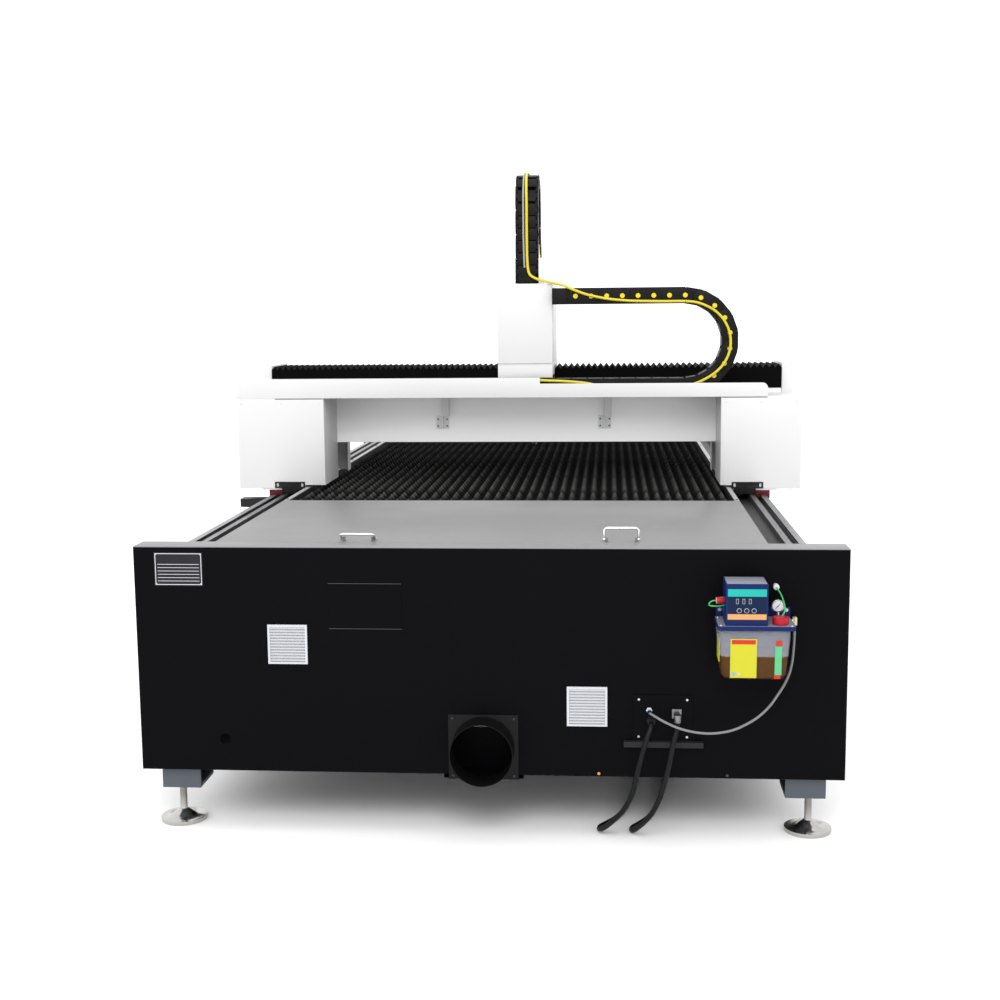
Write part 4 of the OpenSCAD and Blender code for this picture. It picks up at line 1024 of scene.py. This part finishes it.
def addTank(bm, inset, floor, top, corner, openTop=True):
    r = corner
    rings = []
    for z in (floor, floor + 14, (floor + top) / 2, top):
        grow = tankFlare(z) - inset - (tank["tuck"] if z == floor else 0)
        x1, x2 = tank["x"][0] - grow, tank["x"][1] + grow
        y1, y2 = tank["y"][0] - grow, tank["y"][1] + grow
        middles = ((x2 - r, y2 - r), (x1 + r, y2 - r), (x1 + r, y1 + r), (x2 - r, y1 + r))
        ring = []
        for quarter, (x, y) in enumerate(middles):
            for i in range(7):
                a = math.radians(90 * quarter + 15 * i)
                ring.append(bm.verts.new(at(x + r * math.cos(a), y + r * math.sin(a), z)))
        rings.append(ring)
    joinRings(bm, rings, openTop=openTop)


def makePump():
    p = pump
    (left, right), (lidLeft, lidRight) = p["body"], p["lid"]
    front, back, top, reach, lidTop = p["front"], p["back"], p["top"], p["reach"], p["lidHigh"]
    bm = bmesh.new()
    addBox(bm, at(lidLeft, reach, p["lidLow"]), at(lidRight, -0.2, lidTop), mm(3))
    addBox(bm, at(left, front, p["low"] - 2), at(right, back, top - 0.6), mm(3))
    addBox(bm, at(left + 3, front + 3, top - 2), at(right - 3, back - 3, top), mm(0.5), 2)
    addBox(bm, at(lidLeft + 3, reach + 3, lidTop - 1), at(lidRight - 3, -4.5, lidTop + 0.15), 0.0, 2)
    addBox(bm, at(*p["bracket"][0]), at(*p["bracket"][1]), mm(1.5))
    for x in p["boltX"]:
        addRod(bm, at(x, -3.5, p["boltZ"]), at(x, -8, p["boltZ"]), mm(7), mm(6), sides=6, kind=1)
    for x in p["screwX"]:
        for y in p["screwY"]:
            addRod(bm, at(x, y, lidTop - 0.5), at(x, y, lidTop + 3.5), mm(5), mm(4), sides=18, kind=1)
    piece = newPiece("pumpBody", bm, ["pumpBlue", "screwSteel", "pumpTop"])
    place(piece, "bed", "pump_blue", "pump_body")
    bm = bmesh.new()
    for kind, (low, high) in enumerate(p["fields"]):
        addBox(bm, at(low[0], front - 0.8, low[1]), at(high[0], front + 0.5, high[1]), kind=kind)
    z, (lampLow, lampHigh) = p["keyZ"], p["lampZ"]
    for i in range(p["keys"]):
        x, lampX = (start + i * pitch for start, pitch in (p["keyX"], p["lampX"]))
        addRod(bm, at(x, front - 0.6, z), at(x, front - 1.8, z), mm(7.6), mm(7.2), sides=24, kind=3)
        addRod(bm, at(x, front - 1.6, z), at(x, front - 2.4, z), mm(6.2), mm(5.8), sides=24, kind=1)
        addBox(bm, at(lampX - 4, front - 1.2, lampLow), at(lampX + 4, front - 0.6, lampHigh), kind=4)
        addBox(bm, at(lampX - 2.6, front - 1.5, lampLow + 1.4),
               at(lampX + 2.6, front - 1, lampHigh - 1.4), kind=1)
    place(newPiece("pumpFace", bm, ["teal", "navy", "orange", "printPale", "cableGrey"]), "bed", "pump_blue")


def makeTank():
    bm = bmesh.new()
    addTank(bm, 0, *tank["z"], tank["corner"])
    piece = newPiece("pumpTank", bm, ["tankClear"], 60)
    wall = piece.modifiers.new("wall", "SOLIDIFY")
    wall.thickness = mm(tank["wall"])
    wall.offset = -1.0
    place(piece, "bed", "tank_clear", "pump_tank")
    bm = bmesh.new()
    addTank(bm, **tank["oil"], openTop=False)
    place(newPiece("pumpOil", bm, ["oilAmber"], 50), "bed", "oil", "pump_oil")


# plain fields of colour on the tank: x and z from and to, finish, stand-off
fields = [(769, 850, 579, 704, 0, 0.9), (773, 846, 687, 701, 1, 1.2), (774, 785, 585, 597, 4, 1.2),
          (792, 800, 587, 596, 3, 1.1), (905, 926, 589, 681, 2, 0.9), (907, 927, 683, 699, 1, 1.1),
          (903, 923, 577, 588, 1, 1.1)]
sideField = {"out": 5.4, "y": (-118, -40), "z": (626, 700)}
boxFaces = ((0, 1, 2, 3), (5, 4, 7, 6), (4, 5, 1, 0), (3, 2, 6, 7), (4, 0, 3, 7), (1, 5, 6, 2))


def makeTankFields():
    bm = bmesh.new()
    for x1, x2, z1, z2, kind, proud in fields:
        low, high = (tank["y"][0] - tankFlare(z) - proud for z in (z1, z2))
        corners = [at(x1, low, z1), at(x2, low, z1), at(x2, high, z2), at(x1, high, z2)]
        back = [c + Vector((0, mm(0.7), 0)) for c in corners]
        verts = [bm.verts.new(c) for c in corners + back]
        for order in boxFaces:
            bm.faces.new([verts[i] for i in order]).material_index = kind
    x, (y1, y2), (z1, z2) = tank["x"][0] - sideField["out"], sideField["y"], sideField["z"]
    addBox(bm, at(x - 1.2, y1, z1), at(x + 1, y2, z2))
    colors = ["labelYellow", "labelRed", "levelGreen", "printPale", "labelBlue"]
    place(newPiece("tankFields", bm, colors), "bed", "tank_clear")


gauge = {"at": (919, 794), "face": -76, "stemY": -62, "stemLow": 745, "stem": 6, "case": 20, "dial": 16.5,
         "marks": 9, "markStart": -135, "markStep": 33.75, "mark": (11.5, 14.5), "needle": (7, 8)}


def makeGauge():
    g = gauge
    (x, z), face, y = g["at"], g["face"], g["stemY"]
    bm = bmesh.new()
    addRod(bm, at(x, y, g["stemLow"]), at(x, y, z), mm(g["stem"]), sides=20, edge=0.001)
    addRod(bm, at(x, face + 26, z), at(x, face + 0.8, z), mm(g["case"]), sides=40, kind=1, edge=0.002)
    addRod(bm, at(x, face + 1.2, z), at(x, face + 0.2, z), mm(g["dial"]), sides=40, kind=2)
    for i in range(g["marks"]):
        a = math.radians(g["markStart"] + i * g["markStep"])
        inner, outer = (at(x + r * math.sin(a), face + 0.3, z + r * math.cos(a)) for r in g["mark"])
        addRod(bm, inner, outer, mm(0.3), sides=8, kind=3)
    dx, dz = g["needle"]
    addRod(bm, at(x - dx, face + 0.4, z - dz), at(x + dx, face + 0.4, z + dz), mm(1.1), sides=8, kind=3)
    addRod(bm, at(x, face + 0.6, z), at(x, face, z), mm(2.0), sides=16, kind=3)
    piece = newPiece("pumpGauge", bm, ["headMetal", "sheetBlack", "dialWhite", "screwDark"])
    place(piece, "bed", "gauge_metal", "pump_gauge")


tubes = [
    {"radius": 2.2, "step": 0.004, "route": [
        [728, -92, 814], [716, -92, 813], [706, -93, 806], [707, -94, 799], [720, -94, 797], [736, -92, 797],
        [753, -88, 799]]},
    {"radius": 2.4, "step": 0.005, "route": [
        [920, -20, 842], [923, -34, 838], [932, -56, 822], [938, -78, 800], [938, -92, 784], [932, -102, 774],
        [927, -106, 769]]},
]


def makePumpFittings():
    bm = bmesh.new()
    addRod(bm, at(739, -90, 819), at(754, -90, 819), mm(7), sides=20)
    addRod(bm, at(726, -92, 814), at(756, -90, 816), mm(11), mm(10), sides=24, kind=1, edge=0.002)
    for tube in tubes:
        addTube(bm, smoothRoute([at(*p) for p in tube["route"]], tube["step"]), mm(tube["radius"]), 10, kind=2)
    addRod(bm, at(965, -30, 738), at(974, -30, 738), mm(5), sides=20)
    addRod(bm, at(977, -30, 724), at(977, -30, 750), mm(8), sides=6, kind=4, edge=0.001)
    piece = newPiece("pumpFittings", bm, ["screwSteel", "capRed", "tubeGreen", "dialWhite", "ivory"])
    place(piece, "bed", "steel")


makePump()
makeTank()
makeTankFields()
makeGauge()
makePumpFittings()
print("pump is fitted")
